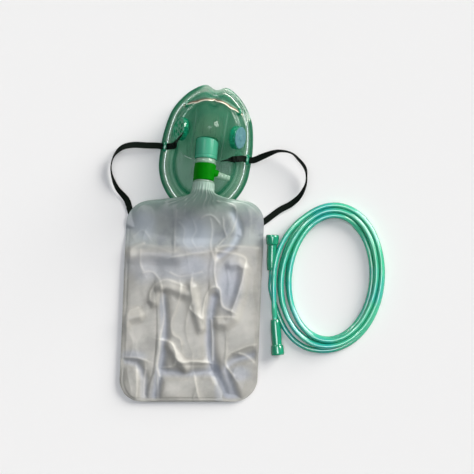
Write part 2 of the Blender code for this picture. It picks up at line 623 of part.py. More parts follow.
def make_connector_body(material):
    spigot = PORT_BORE - SPIGOT_WALL_GAP
    chamfer = 0.0008
    bm = bmesh.new()
    lathe(bm, ((TUBE_BORE, -SPIGOT_IN), (spigot - chamfer, -SPIGOT_IN), (spigot, -SPIGOT_IN + 2 * chamfer),
               (spigot, CLEARANCE), (FLANGE_RADIUS, CLEARANCE), (FLANGE_RADIUS, FLANGE_END - chamfer / 2),
               (FLANGE_RADIUS - chamfer / 2, FLANGE_END), (SLEEVE_RADIUS, FLANGE_END), (SLEEVE_RADIUS, LIP_START),
               (LIP_RADIUS - chamfer / 2, LIP_START), (LIP_RADIUS, LIP_START + chamfer / 2),
               (LIP_RADIUS, LIP_END), (SPIGOT_OUT_RADIUS, LIP_END), (SPIGOT_OUT_RADIUS, BODY_END - chamfer),
               (SPIGOT_OUT_RADIUS - chamfer, BODY_END), (TUBE_BORE, BODY_END)), AXIS)
    body = finish_object("connector_body", bm, material)

    bar_top = Matrix.Translation((0, 0, -SPIGOT_IN + SPIDER_BAR))
    for name, turn in (("spider_bar_across", 0), ("spider_bar_upright", math.pi / 2)):
        bar = bmesh.new()
        add_box(bar, (2 * TUBE_BORE + 0.0008, SPIDER_BAR, SPIDER_BAR), AXIS @ bar_top @ Matrix.Rotation(turn, 4, "Z"))
        add_boolean(body, make_helper(name, bar), "UNION")

    pin = bmesh.new()
    flap_top = -SPIGOT_IN - INLET_FLAP_THICKNESS - 2 * CLEARANCE
    lathe(pin, ((0, flap_top - 0.0010), (SPIDER_HEAD * 0.7, flap_top - 0.0010), (SPIDER_HEAD, flap_top - 0.0004),
                (SPIDER_HEAD, flap_top), (SPIDER_PIN, flap_top), (SPIDER_PIN, -SPIGOT_IN + SPIDER_BAR),
                (0, -SPIGOT_IN + SPIDER_BAR)), AXIS, 12)
    add_boolean(body, make_helper("spider_pin", pin), "UNION")

    stem = bmesh.new()
    ridge = 0.0004
    root = SLEEVE_RADIUS - 0.0009
    barb = [(0, root), (BARB_ROOT, root), (BARB_ROOT, BARB_REACH * 0.60)]
    for k in range(3):
        start = BARB_REACH * (0.62 + 0.12 * k)
        radius = BARB_ROOT + (BARB_TIP - BARB_ROOT) * (k + 1) / 3
        barb += [(radius, start), (radius + ridge, start + BARB_REACH * 0.015), (radius, start + BARB_REACH * 0.10)]
    barb += [(BARB_TIP - ridge, BARB_REACH), (0, BARB_REACH)]
    lathe(stem, barb, barb_frame(), 16)
    add_boolean(body, make_helper("barb_stem", stem), "UNION")

    bore = bmesh.new()
    lathe(bore, ((0, TUBE_BORE - 0.0015), (BARB_BORE, TUBE_BORE - 0.0015), (BARB_BORE, BARB_REACH + 0.001),
                 (0, BARB_REACH + 0.001)), barb_frame(), 12)
    add_boolean(body, make_helper("barb_bore", bore), "DIFFERENCE")


def make_inlet_flap(material):
    """Disc that lies on the connector's inner end and opens towards the mask."""
    top = -SPIGOT_IN - CLEARANCE
    hole = SPIDER_PIN + CLEARANCE
    bm = bmesh.new()
    lathe(bm, ((hole, top - INLET_FLAP_THICKNESS), (INLET_FLAP_RADIUS, top - INLET_FLAP_THICKNESS),
               (INLET_FLAP_RADIUS, top), (hole, top)), AXIS, 28)
    finish_object("inhalation_flap", bm, material)


def make_collar(material):
    """Coloured band snapped round the connector, with a boss that the barb comes out of."""
    bore = SLEEVE_RADIUS + CLEARANCE
    edge = 0.0005
    bm = bmesh.new()
    lathe(bm, ((bore, COLLAR_START), (COLLAR_RADIUS - edge, COLLAR_START), (COLLAR_RADIUS, COLLAR_START + edge),
               (COLLAR_RADIUS, COLLAR_END - edge), (COLLAR_RADIUS - edge, COLLAR_END), (bore, COLLAR_END)), AXIS)
    collar = finish_object("connector_collar", bm, material)

    boss_mesh = bmesh.new()
    lathe(boss_mesh, ((0, SLEEVE_RADIUS / 2), (BOSS_ROOT, SLEEVE_RADIUS / 2), (BOSS_TIP, BOSS_REACH - edge),
                      (BOSS_TIP - edge, BOSS_REACH), (0, BOSS_REACH)), barb_frame(), 24)
    boss = make_helper("collar_boss", boss_mesh)
    middle = (bore + COLLAR_RADIUS) / 2
    trim = bmesh.new()
    lathe(trim, ((0, COLLAR_START - bore), (middle, COLLAR_START - bore), (middle, COLLAR_END + bore),
                 (0, COLLAR_END + bore)), AXIS @ Matrix.Rotation(math.pi / ROUND_STEPS, 4, "Z"))
    add_boolean(boss, make_helper("collar_boss_trim", trim), "DIFFERENCE")
    add_boolean(collar, boss, "UNION")

    room = BARB_ROOT + CLEARANCE
    passage = bmesh.new()
    reach = COLLAR_END - BARB_AXIS_STATION + 2 * room
    arc = [math.pi * (k / 10 - 0.5) for k in range(11)]
    outline = [(room * math.cos(angle), room * math.sin(angle)) for angle in arc] + [(-reach, room), (-reach, -room)]
    frame = barb_frame()
    add_loft(passage, [[frame @ Vector((x, y, z)) for x, y in outline]
                       for z in (SLEEVE_RADIUS / 2, BOSS_REACH + room)])
    add_boolean(collar, make_helper("collar_barb_slot", passage), "DIFFERENCE")


# Reservoir bag


NECK_RADIUS = SPIGOT_OUT_RADIUS + NECK_GAP + NECK_FILM
NECK_START = LIP_END + CLEARANCE
NECK_END = BODY_END + CLEARANCE


def bag_frame():
    """Axes of the bag from the middle of its top edge, which stays along X while the sides lean."""
    neck = AXIS @ Vector((0, 0, NECK_END))
    lean = Matrix(((1, -math.sin(BAG_LEAN), 0, 0), (0, math.cos(BAG_LEAN), 0, 0), (0, 0, 1, 0), (0, 0, 0, 1)))
    return Matrix.Translation((neck.x + BAG_FROM_NECK.x, neck.y + BAG_FROM_NECK.y, 0)) @ lean


BAG_FRAME = bag_frame()
NECK_ACROSS = (BAG_FRAME.inverted() @ AXIS @ Vector((0, 0, NECK_END))).x
FOLDS_FRAME = Matrix.Translation(BAG_FRAME @ FOLDS_START.to_3d()) @ Matrix.Rotation(BAG_LEAN, 4, "Z")
FOLDS_INVERSE = FOLDS_FRAME.inverted()


def strap_under_bag():
    """Middle line of the strap where it runs under the bag, in world axes."""
    height = STRAP_THICKNESS / 2 + CLEARANCE
    return [BAG_FRAME @ Vector((across, along, height)) for across, along in UNDER_BAG]


def strap_end(end):
    """Middle line of one loose end, from its eyelet inwards, with the ribbon's turn."""
    return [(MASK_FRAME @ Vector((u, v, mask_height(u, v) + proud)), turn) for u, v, proud, turn in end]


def strap_route():
    """Middle line of the whole strap from the left end to the right end, with the ribbon's turn."""
    route = strap_end(LEFT_END)[::-1]
    for side, loop in ((-1, LEFT_LOOP), (1, RIGHT_LOOP)):
        eyelet = MASK_FRAME @ Vector((eyelet_u(side), EYELET_V, STRAP_AT_EYELET))
        points = [(eyelet, 0)]
        for out, along, height, turn in loop:
            points.append((Vector((eyelet.x + side * out, eyelet.y + along, height)), turn))
        if side < 0:
            route += points + [(point, 0) for point in strap_under_bag()]
        else:
            route += reversed(points)
    return route + strap_end(RIGHT_END)


STRAP_LOW_LINE = spline([p for p, turn in strap_route() if p.z < 0.004], 6)


def film_lift(x, y):
    """Height that the bag's underside keeps over the mask's chin and over the strap."""
    lift = 0.0
    for reach, directions in ((0.0, 1), (0.0045, 8), (0.009, 8), (0.014, 12), (0.020, 12)):
        for k in range(directions):
            angle = math.tau * k / directions
            local = MASK_INVERSE @ Vector((x + reach * math.cos(angle), y + reach * math.sin(angle), 0))
            if math.hypot(local.x, local.y) < outline_radius(local.x, local.y):
                slope = LIFT_SLOPE * max(0.0, reach - LIFT_FLAT)
                lift = max(lift, mask_height(local.x, local.y) + FILM_OVER_MASK - slope)
    over_strap = STRAP_THICKNESS + CLEARANCE + STRAP_RELIEF
    near = min(math.hypot(p.x - x, p.y - y) for p in STRAP_LOW_LINE)
    return max(lift, over_strap * (1 - smoothstep((near - STRAP_LIFT_FLAT) / STRAP_LIFT_FALL)))


def fold_height(world):
    """Sum of the film's ridges and valleys at a place on the bag."""
    local = FOLDS_INVERSE @ world
    place = Vector((local.x, -local.y))
    total = 0.0
    for height, width, points in FOLDS:
        nearest = 1.0
        line = [Vector(p) for p in points]
        for a, b in zip(line, line[1:]):
            share = min(1.0, max(0.0, (place - a).dot(b - a) / (b - a).length_squared))
            nearest = min(nearest, (place - a.lerp(b, share)).length)
        total += height * math.exp(-(nearest / width) ** 2)
    return total


def bag_rows():
    """Rows from the neck to the foot: centre down, centre height, half thickness, side down, side out, side height."""
    rows = list(FLARE)
    for k, (down, height, half, side_height) in enumerate(SHOULDER):
        angle = math.pi / 2 * (1 - (k + 0.4) / (len(SHOULDER) - 0.6))
        rows.append((down, height, half, BAG_CORNER * (1 - math.sin(angle)),
                     BAG_HALF_WIDTH - BAG_CORNER * (1 - math.cos(angle)), side_height))
    first = SHOULDER[-1][0]
    last = BAG_LENGTH - BAG_CORNER
    for k in range(1, BAG_ROWS + 1):
        down = first + (last - first) * k / BAG_ROWS
        side = BAG_CORNER + (last - BAG_CORNER) * k / BAG_ROWS
        rows.append((down, BAG_FULLNESS, BAG_FULLNESS, side, BAG_HALF_WIDTH, BAG_SEAM / 2))
    for k in range(1, CORNER_ROWS + 1):
        angle = math.pi / 2 * k / CORNER_ROWS
        side = last + BAG_CORNER * math.sin(angle)
        half = BAG_FULLNESS * math.cos(angle) + BAG_SEAM / 2
        out = BAG_HALF_WIDTH - BAG_CORNER * (1 - math.cos(angle))
        rows.append((side, half, half, side, out, BAG_SEAM / 2))
    return rows


def bag_ring(row):
    """One closed ring of the bag, over the top from left to right and back underneath."""
    down, height, half, side_down, out, side_height = row
    flat = smoothstep((out - NECK_RADIUS) / FLARE_REACH)
    top, bottom = [], []
    for k in range(BAG_COLUMNS + 1):
        even = -1 + 2 * k / BAG_COLUMNS
        share = math.sin(math.pi / 2 * even) * (1 - flat) + even * flat
        place_down = down + (side_down - down) * share * share
        drift = NECK_ACROSS * (1 - smoothstep((out - NECK_RADIUS) / NECK_SHIFT_REACH))
        across = out * share + drift
        world = BAG_FRAME @ Vector((across, -place_down, 0))
        middle = height + (side_height - height) * abs(share) ** 1.5
        swell = half * math.sqrt(max(0.0, 1 - share * share))
        lift = film_lift(world.x, world.y)
        low = max(middle - swell, lift)
        if down > SHOULDER[-1][0] and lift < 1e-6:
            low = 0.0
        seam = BAG_SEAM
        folds = fold_height(world) * smoothstep((1 - abs(share)) * out / SEAM_FADE)
        if down >= BAG_LENGTH - 1e-6:
            folds = 0.0
        high = max(middle + swell + folds, low + seam)
        top.append(Vector((world.x, world.y, high)))
        bottom.append(Vector((world.x, world.y, low)))
    return top + bottom[::-1]


def make_bag(material):
    count = 2 * BAG_COLUMNS + 2
    rings = []
    for station in (NECK_START, NECK_END):
        ring = []
        for k in range(count):
            even = -1 + 2 * (k if k <= BAG_COLUMNS else count - 1 - k) / BAG_COLUMNS
            angle = math.pi / 2 * even * 0.985
            side = 1 if k <= BAG_COLUMNS else -1
            ring.append(AXIS @ Vector((NECK_RADIUS * math.sin(angle), side * NECK_RADIUS * math.cos(angle), station)))
        rings.append(ring)
    rings += [bag_ring(row) for row in bag_rows()]
    bm = bmesh.new()
    add_loft(bm, rings)
    bmesh.ops.recalc_face_normals(bm, faces=bm.faces)
    flat = {face for face in bm.faces if max(abs(v.co.z) for v in face.verts) < 1e-7}
    edges = [edge for edge in bm.edges if all(face in flat for face in edge.link_faces)]
    verts = [vert for vert in bm.verts if all(face in flat for face in vert.link_faces)]
    bmesh.ops.dissolve_limit(bm, angle_limit=math.radians(0.5), verts=verts, edges=edges)
    bag = finish_object("reservoir_bag", bm, material, sharp=math.radians(50))

    socket = bmesh.new()
    bore = SPIGOT_OUT_RADIUS + NECK_GAP
    lathe(socket, ((0, NECK_START - 0.001), (bore, NECK_START - 0.001), (bore, NECK_END), (0, NECK_END)), AXIS)
    add_boolean(bag, make_helper("neck_socket", socket), "DIFFERENCE")


# Head strap


def strap_rings():
    route = strap_route()
    steps = 4
    line = spline([point for point, turn in route], steps)
    turns = spline([Vector((turn, 0)) for point, turn in route], steps)
    rings = []
    for k, point in enumerate(line):
        along = (line[min(k + 1, len(line) - 1)] - line[max(k - 1, 0)]).normalized()
        across = Vector((0, 0, 1)).cross(along).normalized()
        up = along.cross(across)
        turn = math.radians(turns[k].x)
        side = across * math.cos(turn) + up * math.sin(turn)
        face = up * math.cos(turn) - across * math.sin(turn)
        rings.append([point + side * (a * STRAP_WIDTH / 2) + face * (b * STRAP_THICKNESS / 2)
                      for a, b in ((-1, -1), (1, -1), (1, 1), (-1, 1))])
    return rings


def knot_frame(end, knot):
    """Frame at the point of a loose end that lies nearest to its knot, with Z along the strap."""
    points = [point for point, turn in strap_end(end)]
    inner = range(1, len(end) - 1)
    k = min(inner, key=lambda n: math.dist(end[n][:2], knot))
    return frame_from(points[k], points[k + 1] - points[k - 1], Vector((0, 0, 1)))


def make_strap(material):
    bm = bmesh.new()
    add_loft(bm, strap_rings())
    strap = finish_object("head_strap", bm, material)
    for side, end, knot in (("left", LEFT_END, LEFT_KNOT), ("right", RIGHT_END, RIGHT_KNOT)):
        place = knot_frame(end, knot) @ Matrix.Diagonal((*KNOT_SIZE, 1.0))
        lump = bmesh.new()
        verts = bmesh.ops.create_icosphere(lump, subdivisions=2, radius=1.0)["verts"]
        bmesh.ops.transform(lump, matrix=place, verts=verts)
        add_boolean(strap, make_helper("knot_" + side, lump), "UNION")


# Supply tubing


def coil_point(angle, inset, height):
    """Point on the oval of the coil, a distance inside its middle line."""
    local = Vector(((COIL_HALF_X - inset) * math.cos(angle), (COIL_HALF_Y - inset) * math.sin(angle), 0))
    world = COIL_CENTRE + Matrix.Rotation(COIL_TURN, 3, "Z") @ local
    return Vector((world.x, world.y, height))


def make_coil(material):
    half_width = TUBE_DIAMETER * COIL_COLUMNS / 2
    height = TUBE_DIAMETER * COIL_LAYERS
    corner = TUBE_DIAMETER * 0.3
    section = ((-half_width + corner, 0), (half_width - corner, 0), (half_width, corner),
               (half_width, height - corner), (half_width - corner, height), (-half_width + corner, height),
               (-half_width, height - corner), (-half_width, corner))
    rings = [[coil_point(math.tau * k / COIL_STEPS, inset, z) for inset, z in section] for k in range(COIL_STEPS)]
    bm = bmesh.new()
    add_loft(bm, rings, looped=True)
    finish_object("tube_coil", bm, material)


def make_lead(name, route, material):
    points = spline([Vector(p) for p in route], 2)
    curve = bpy.data.curves.new(name, "CURVE")
    curve.dimensions = "3D"
    curve.bevel_depth = TUBE_DIAMETER / 2
    curve.bevel_resolution = 2
    curve.use_fill_caps = True
    curve.resolution_u = 1
    curve.render_resolution_u = 0
    run = curve.splines.new("POLY")
    run.points.add(len(points) - 1)
    for place, point in zip(run.points, points):
        place.co = (*point, 1.0)
    curve.materials.append(material)
    item = bpy.data.objects.new(name, curve)
    bpy.context.scene.collection.objects.link(item)


def make_funnel(name, route, material):
    """Soft end piece of the tubing: a socket mouth with a rolled rim, tapering to the tube."""
    start, following = Vector(route[0]), Vector(route[1])
    direction = (start - following).normalized()
    flat = Vector((direction.x, direction.y, 0)).normalized()
    tilt = (FUNNEL_MOUTH - start.z) / FUNNEL_LENGTH
    direction = (flat + Vector((0, 0, tilt))).normalized()
    frame = frame_from(start, direction, Vector((0, 0, 1)))
    length = FUNNEL_LENGTH
    bm = bmesh.new()
    lathe(bm, ((0, CLEARANCE), (FUNNEL_BODY * 0.86, CLEARANCE), (FUNNEL_BODY * 0.92, 0.004), (FUNNEL_BODY, 0.010),
               (FUNNEL_BODY * 0.96, length - FUNNEL_RIM - 0.001), (FUNNEL_MOUTH * 0.93, length - FUNNEL_RIM),
               (FUNNEL_MOUTH, length - 0.002), (FUNNEL_MOUTH * 0.94, length), (FUNNEL_SOCKET * 1.08, length),
               (FUNNEL_SOCKET, length - 0.003), (FUNNEL_SOCKET * 0.8, length - FUNNEL_SOCKET_DEPTH),
               (0, length - FUNNEL_SOCKET_DEPTH)), frame, 18)
    finish_object(name, bm, material)


def build():
    clear_scene()
    shell_green = make_material("clear_green_vinyl", (0.10, 0.36, 0.24), 0.12, transmission=0.6)
    collar_green = make_material("green_band", (0.003, 0.19, 0.003), 0.35)
    clear = make_material("clear_plastic", (0.62, 0.68, 0.58), 0.12, transmission=0.7)
    film = make_material("bag_film", (0.55, 0.55, 0.52), 0.4, transmission=0.3)
    rubber = make_material("valve_rubber", (0.16, 0.33, 0.36), 0.4)
    elastic = make_material("strap_elastic", (0.004, 0.012, 0.006), 0.75)
    metal = make_material("clip_metal", (0.80, 0.80, 0.78), 0.25, metallic=1.0)
    tubing = make_material("green_tubing", (0.06, 0.45, 0.33), 0.18, transmission=0.3)

    make_mask(shell_green)
    make_exhalation_flap(rubber)
    make_nose_clip(metal)
    make_connector_body(clear)
    make_inlet_flap(rubber)
    make_collar(collar_green)
    make_bag(film)
    make_strap(elastic)
    make_coil(tubing)
    make_lead("tube_lead_a", LEAD_A, tubing)
    make_lead("tube_lead_b", LEAD_B, tubing)
    make_funnel("tube_connector_a", LEAD_A, tubing)
    make_funnel("tube_connector_b", LEAD_B, tubing)


build()
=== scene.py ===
"""Looks of the oxygen face mask: fine surfaces, films, strap weave, tubing, floor, light and camera.

Metres, in the part's own frame. The part lies on the floor at Z = 0, and the camera looks straight down on it.
"""
import math

import bmesh
import bpy
from mathutils import Matrix, Vector, noise


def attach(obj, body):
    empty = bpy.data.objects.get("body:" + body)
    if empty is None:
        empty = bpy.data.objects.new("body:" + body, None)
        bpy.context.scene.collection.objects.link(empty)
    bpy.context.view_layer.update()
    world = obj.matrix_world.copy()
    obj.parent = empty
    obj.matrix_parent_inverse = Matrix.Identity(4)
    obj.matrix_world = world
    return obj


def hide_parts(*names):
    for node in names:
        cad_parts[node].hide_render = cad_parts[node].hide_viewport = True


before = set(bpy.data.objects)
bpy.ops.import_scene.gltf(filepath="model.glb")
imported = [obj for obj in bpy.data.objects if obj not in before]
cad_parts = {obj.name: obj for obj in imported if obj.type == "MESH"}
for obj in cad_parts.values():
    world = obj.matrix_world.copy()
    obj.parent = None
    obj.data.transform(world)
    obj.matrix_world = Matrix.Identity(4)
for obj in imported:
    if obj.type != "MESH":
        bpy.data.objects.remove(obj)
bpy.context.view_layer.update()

BODY = "root"
CLEARANCE = 0.0003
MM = 0.001

# Camera: the photograph's middle on the table, its distance, and the table's width that the view spans
VIEW_CENTRE = (0.0328, 0.0063)
VIEW_DISTANCE = 3.0
VIEW_WIDTH = 0.4977
SENSOR_WIDTH = 36.0

# Light: sky levels at the horizon and overhead with the rise between them, shares of the lamps on the floor
SKY_LOW = 0.12
SKY_HIGH = 4.72
SKY_RISE = (0.945, 0.985)
KEY_SHARE = 0.50
FILL_SHARE = 0.06
KEY_FROM = Vector((0.82, 0.57, 0.43))
FILL_FROM = Vector((-0.38, 0.42, 0.82))
KEY_SIZE = math.radians(40)
FILL_SIZE = math.radians(7)
KEY_TINT = (1.03, 1.0, 0.95)
SKY_TINT = (0.97, 0.995, 1.05)
FLOOR_ALBEDO = 0.887
FLOOR_HALF = 3.0

# Mask shell, the same formulas as the solid with a finer grid and flatter rim crests
MASK_LENGTH = 0.136
MASK_WIDTH = 0.096
MASK_WALL = 0.0014
MASK_CENTRE = Vector((0.0012, 0.0984, 0.0))
MASK_TURN = math.radians(-9)
MASK_OUTLINE = ((0, 0.92), (0.23, 0.98), (0.46, 0.90), (0.69, 0.74), (0.885, 0.50), (0.98, 0.18), (1, -0.12),
                (0.97, -0.41), (0.83, -0.66), (0.56, -0.88), (0.21, -0.99))
NOSE_RIM = ((0, 0.0012), (0.0022, 0.0029), (0.0052, 0.0048), (0.0066, 0.0048), (0.0076, 0.0056), (0.0102, 0.0118),
            (0.0135, 0.0165))
CHIN_RIM = ((0, 0.0012), (0.0022, 0.0029), (0.0050, 0.0050), (0.0057, 0.00525), (0.0070, 0.00525), (0.0085, 0.0043),
            (0.0125, 0.0087), (0.0142, 0.0089), (0.0154, 0.0096), (0.0178, 0.0178), (0.0200, 0.0190))
RIM_DEPTH = 0.0198
RIM_RINGS = 28
INNER_RINGS = 20
RIM_BLEND = 0.012
DOME_BLEND = 0.008
RIDGE = ((-0.050, 0.0190), (-0.030, 0.0205), (-0.0095, 0.0215), (-0.0035, 0.0262), (0.004, 0.0345), (0.010, 0.0425),
         (0.0155, 0.0472), (0.022, 0.0492), (0.029, 0.0462), (0.036, 0.0395), (0.042, 0.0315), (0.049, 0.0230))
NOSE_LIFT = 0.0055
NOSE_LIFT_WIDTH = 0.011
STEP_HEIGHT = 0.00035
STEP_SPACING = 0.0034
STEP_START = (0.040, 0.008)
STEP_EDGE = (0.0, 0.002)
STEP_INNER = (0.0185, 0.003)
CROWN_POWER = 1.3
DOME_ROOM = 0.004
BRIDGE_START = 0.28
BRIDGE_RUN = 0.16

PORT_MOUTH = Vector((0.0010, -0.0118, 0.0362))
PORT_OUTER = 0.0118
PORT_BORE = 0.0103
PORT_DEPTH = 0.0235
PORT_ROUND = 0.0035
PORT_RING = 0.0036
PORT_GROOVE_HALF = 0.0006
PORT_GROOVE_DEPTH = 0.0003
PORT_EDGE = 0.0012
AXIS_YAW = math.radians(4.7)
AXIS_RISE = math.radians(10.5)
ROUND_STEPS = 96

SEAT_PLACE = (0.0290, 0.0165)
SEAT_RADIUS = 0.0122
SEAT_PROUD = 0.0040
SEAT_LEAN = math.radians(10)
SEAT_SINK = 0.0030
SEAT_RECESS = 0.0008
SEAT_RIM = 0.0018
SEAT_HOLES = 6
SEAT_HOLE_RADIUS = 0.0019
SEAT_HOLE_CIRCLE = 0.0062
SEAT_PIN_RADIUS = 0.0013
SEAT_EDGE = 0.0005
FLAP_RADIUS = 0.0114
FLAP_THICKNESS = 0.0008
FLAP_CROWN = 0.0006

# Head strap
STRAP_WIDTH = 0.0065
STRAP_THICKNESS = 0.0010
STRAP_RIBS = 5
STRAP_RIB_HEIGHT = 0.00012
STRAP_WEAVE = 0.0007
STRAP_FLAT = 0.94
STRAP_STEPS = 12
STRAP_TIP = 0.55
STRAP_TIP_RUN = 1.6
KNOT_ROUNDNESS = 0.7
STAPLE_ROUNDNESS = 0.6
EYELET_INSET = 0.0042
EYELET_V = -0.0043
EYELET_BAR = 0.0013
EYELET_LENGTH = 0.0032
EYELET_GAP = 0.0008
STRAP_AT_EYELET = 0.0068
LEFT_LOOP = ((0.0070, 0.0010, 0.0066, 0), (0.0180, 0.0012, 0.0082, 0), (0.0330, 0.0017, 0.0090, 8),
             (0.0445, -0.0010, 0.0085, 35), (0.0525, -0.0085, 0.0068, 72), (0.0562, -0.0185, 0.0058, 84),
             (0.0555, -0.0300, 0.0054, 74), (0.0500, -0.0435, 0.0046, 45), (0.0400, -0.0560, 0.0026, 14))
RIGHT_LOOP = ((0.0065, -0.0005, 0.0066, 0), (0.0175, 0.0040, 0.0100, -20), (0.0320, 0.0088, 0.0138, -66),
              (0.0455, 0.0068, 0.0146, -80), (0.0540, -0.0005, 0.0132, -68), (0.0600, -0.0085, 0.0112, -66),
              (0.0618, -0.0180, 0.0088, -82), (0.0605, -0.0275, 0.0068, -72), (0.0545, -0.0385, 0.0048, -42),
              (0.0455, -0.0465, 0.0032, -14), (0.0335, -0.0530, 0.0018, -4))
UNDER_BAG = ((-0.065, -0.0170), (-0.047, -0.0195), (-0.021, -0.0215), (0.009, -0.0222), (0.039, -0.0240),
             (0.061, -0.0285))
LEFT_END = ((-0.0395, -0.0035, 0.0040, 0), (-0.0350, -0.0025, 0.0066, 10), (-0.0320, 0.0018, 0.0088, 60),
            (-0.0300, 0.0056, 0.0152, 76), (-0.0267, 0.0108, 0.0190, 84))
RIGHT_END = ((0.0390, -0.0040, 0.0040, 0), (0.0355, -0.0050, 0.0062, 0), (0.0305, -0.0064, 0.0066, 6),
             (0.0230, -0.0085, 0.0058, 70), (0.0165, -0.0108, 0.0046, 86))
LEFT_KNOT = (-0.0350, -0.0025)
RIGHT_KNOT = (0.0305, -0.0064)
# Turns of a knot: place along the strap, tilt in degrees, half width, half height
KNOT_TURNS = ((-0.0034, 24, 0.0026, 0.0019), (-0.0012, -20, 0.0030, 0.0023), (0.0012, 18, 0.0031, 0.0023),
              (0.0033, -28, 0.0025, 0.0018))
KNOT_BAND = (0.0018, 0.0009)

# Nose clip
CLIP_WIDTH = 0.0048
CLIP_THICKNESS = 0.0007
CLIP_HALF_SPAN = MASK_WIDTH * 0.318
CLIP_CENTRE_V = MASK_LENGTH * 0.379
CLIP_DROP = 0.0105
CLIP_SEAT = 0.0008
CLIP_LOOP_BAR = 0.0010
CLIP_LOOP_LENGTH = 0.0028
CLIP_LOOP_GAP = 0.0006
CLIP_LOOP_SHARE = 0.86
CLIP_STEPS = 90
CLIP_END = 0.93
CLIP_END_NARROWS = 0.45

# Connector, stations along its axis from the port's mouth
SPIGOT_IN = 0.0160
SPIGOT_WALL_GAP = 0.0003
TUBE_BORE = 0.0083
FLANGE_RADIUS = 0.01065
FLANGE_LENGTH = 0.0045
SLEEVE_RADIUS = 0.0096
COLLAR_LENGTH = 0.0178
COLLAR_RADIUS = 0.01125
LIP_RADIUS = 0.0109
LIP_LENGTH = 0.0018
SPIGOT_OUT = 0.0088
SPIGOT_OUT_RADIUS = 0.0099
SPIDER_BAR = 0.0012
SPIDER_PIN = 0.0011
SPIDER_HEAD = 0.0018
INLET_FLAP_RADIUS = 0.0090
INLET_FLAP_THICKNESS = 0.0005
BARB_STATION = 0.0078
BARB_LEAN = math.radians(11)
BARB_REACH = 0.0270
BARB_ROOT = 0.0039
BARB_TIP = 0.0029
BARB_BORE = 0.0015
BARB_RIDGE = 0.0004
BOSS_ROOT = 0.0068
BOSS_TIP = 0.0048
BOSS_REACH = 0.0146

# Reservoir bag
BAG_LENGTH = 0.211
BAG_HALF_WIDTH = 0.0722
BAG_LEAN = math.radians(-2.4)
BAG_CORNER = 0.024
BAG_FROM_NECK = Vector((-0.0078, -0.0087))
NECK_SHIFT_REACH = 0.035
BAG_SEAM = 0.0006
BAG_FULLNESS = 0.0034
NECK_FILM = 0.0011
NECK_GAP = 0.0003
BAG_COLUMNS = 160
BAG_ROWS = 23
CORNER_ROWS = 5
ROW_STEPS = 7
# Rows of the bag by the neck: centre down, centre height, half thickness, side down, side out, side height
FLARE = ((-0.0068, 0.0406, 0.0100, -0.0068, 0.0132, 0.0398), (-0.0042, 0.0380, 0.0088, -0.0050, 0.0172, 0.0350),
         (-0.0008, 0.0342, 0.0076, -0.0035, 0.0235, 0.0275), (0.0032, 0.0288, 0.0064, -0.0022, 0.0315, 0.0195),
         (0.0074, 0.0232, 0.0052, -0.0010, 0.0405, 0.0130))
# Rows between the corners: centre down, centre height, half thickness, side height
SHOULDER = ((0.0120, 0.0180, 0.0046, 0.0085), (0.0170, 0.0138, 0.0042, 0.0050), (0.0222, 0.0102, 0.0040, 0.0026),
            (0.0275, 0.0072, 0.0038, 0.0012), (0.0330, 0.0050, 0.0036, 0.0006))
# Broad folds: height (a valley is negative), half width, then points across and down the film in millimetres
FOLDS = (
    (-0.0032, 0.0050, ((-33, 92), (-29, 122), (-29, 152), (-33, 178), (-36, 202))),
    (0.0030, 0.0052, ((-41, 100), (-35, 87), (-25, 85), (-8, 91))),
    (0.0030, 0.0046, ((-1, 84), (4, 108), (10, 126))),
    (-0.0034, 0.0056, ((22, 94), (18, 123), (21, 154), (27, 170), (42, 200))),
    (-0.0026, 0.0050, ((-24, 174), (0, 174), (24, 171))),
    (0.0024, 0.0044, ((-24, 146), (-12, 160), (-5, 170))),
    (0.0030, 0.0050, ((38, 58), (52, 62), (43, 114), (28, 120))),
    (-0.0026, 0.0048, ((66, 152), (46, 158), (38, 166), (40, 174), (51, 202))),
    (0.0028, 0.0050, ((-74, 132), (-68, 120), (-56, 116))),
    (-0.0024, 0.0046, ((-72, 164), (-56, 166), (-48, 182), (-47, 204))),
    (0.0030, 0.0080, ((-66, 52), (-48, 50), (-20, 52))),
    (-0.0030, 0.0045, ((38, 4), (43, 14), (45, 26), (38, 40), (26, 50))))
FOLDS_START = Vector((0.0013, -0.0074))
STRAP_RELIEF = 0.0010
FILM_OVER_MASK = 0.0012
LIFT_FLAT = 0.005
LIFT_SLOPE = 0.45
STRAP_LIFT_FLAT = 0.009
STRAP_LIFT_FALL = 0.007
FLARE_REACH = 0.020
SEAM_FADE = 0.006
BAG_TOP_LIMIT = 0.0545
BAG_EDGE_LIFT = 0.0036
EDGE_LIFT_REACH = 0.015
EDGE_LIFT_ROWS = 5
EDGE_FALL = 1.5
# Weld along the edge: a groove at a place inside it
WELD_DEPTH = 0.00035
WELD_PLACE = 0.0034
WELD_HALF = 0.0007
# Gathers that fan out from the neck, and how far down they reach
NECK_PLEATS = 12
NECK_PLEAT_HEIGHT = 0.0004
NECK_FADE_START = -0.012
NECK_FADE_LENGTH = 0.031
NECK_CALM = 0.6
# Rings of points round a place that are probed for what the film rests on: reach, count
LIFT_PROBES = ((0.0, 1), (0.0045, 8), (0.009, 8), (0.014, 12), (0.020, 12))
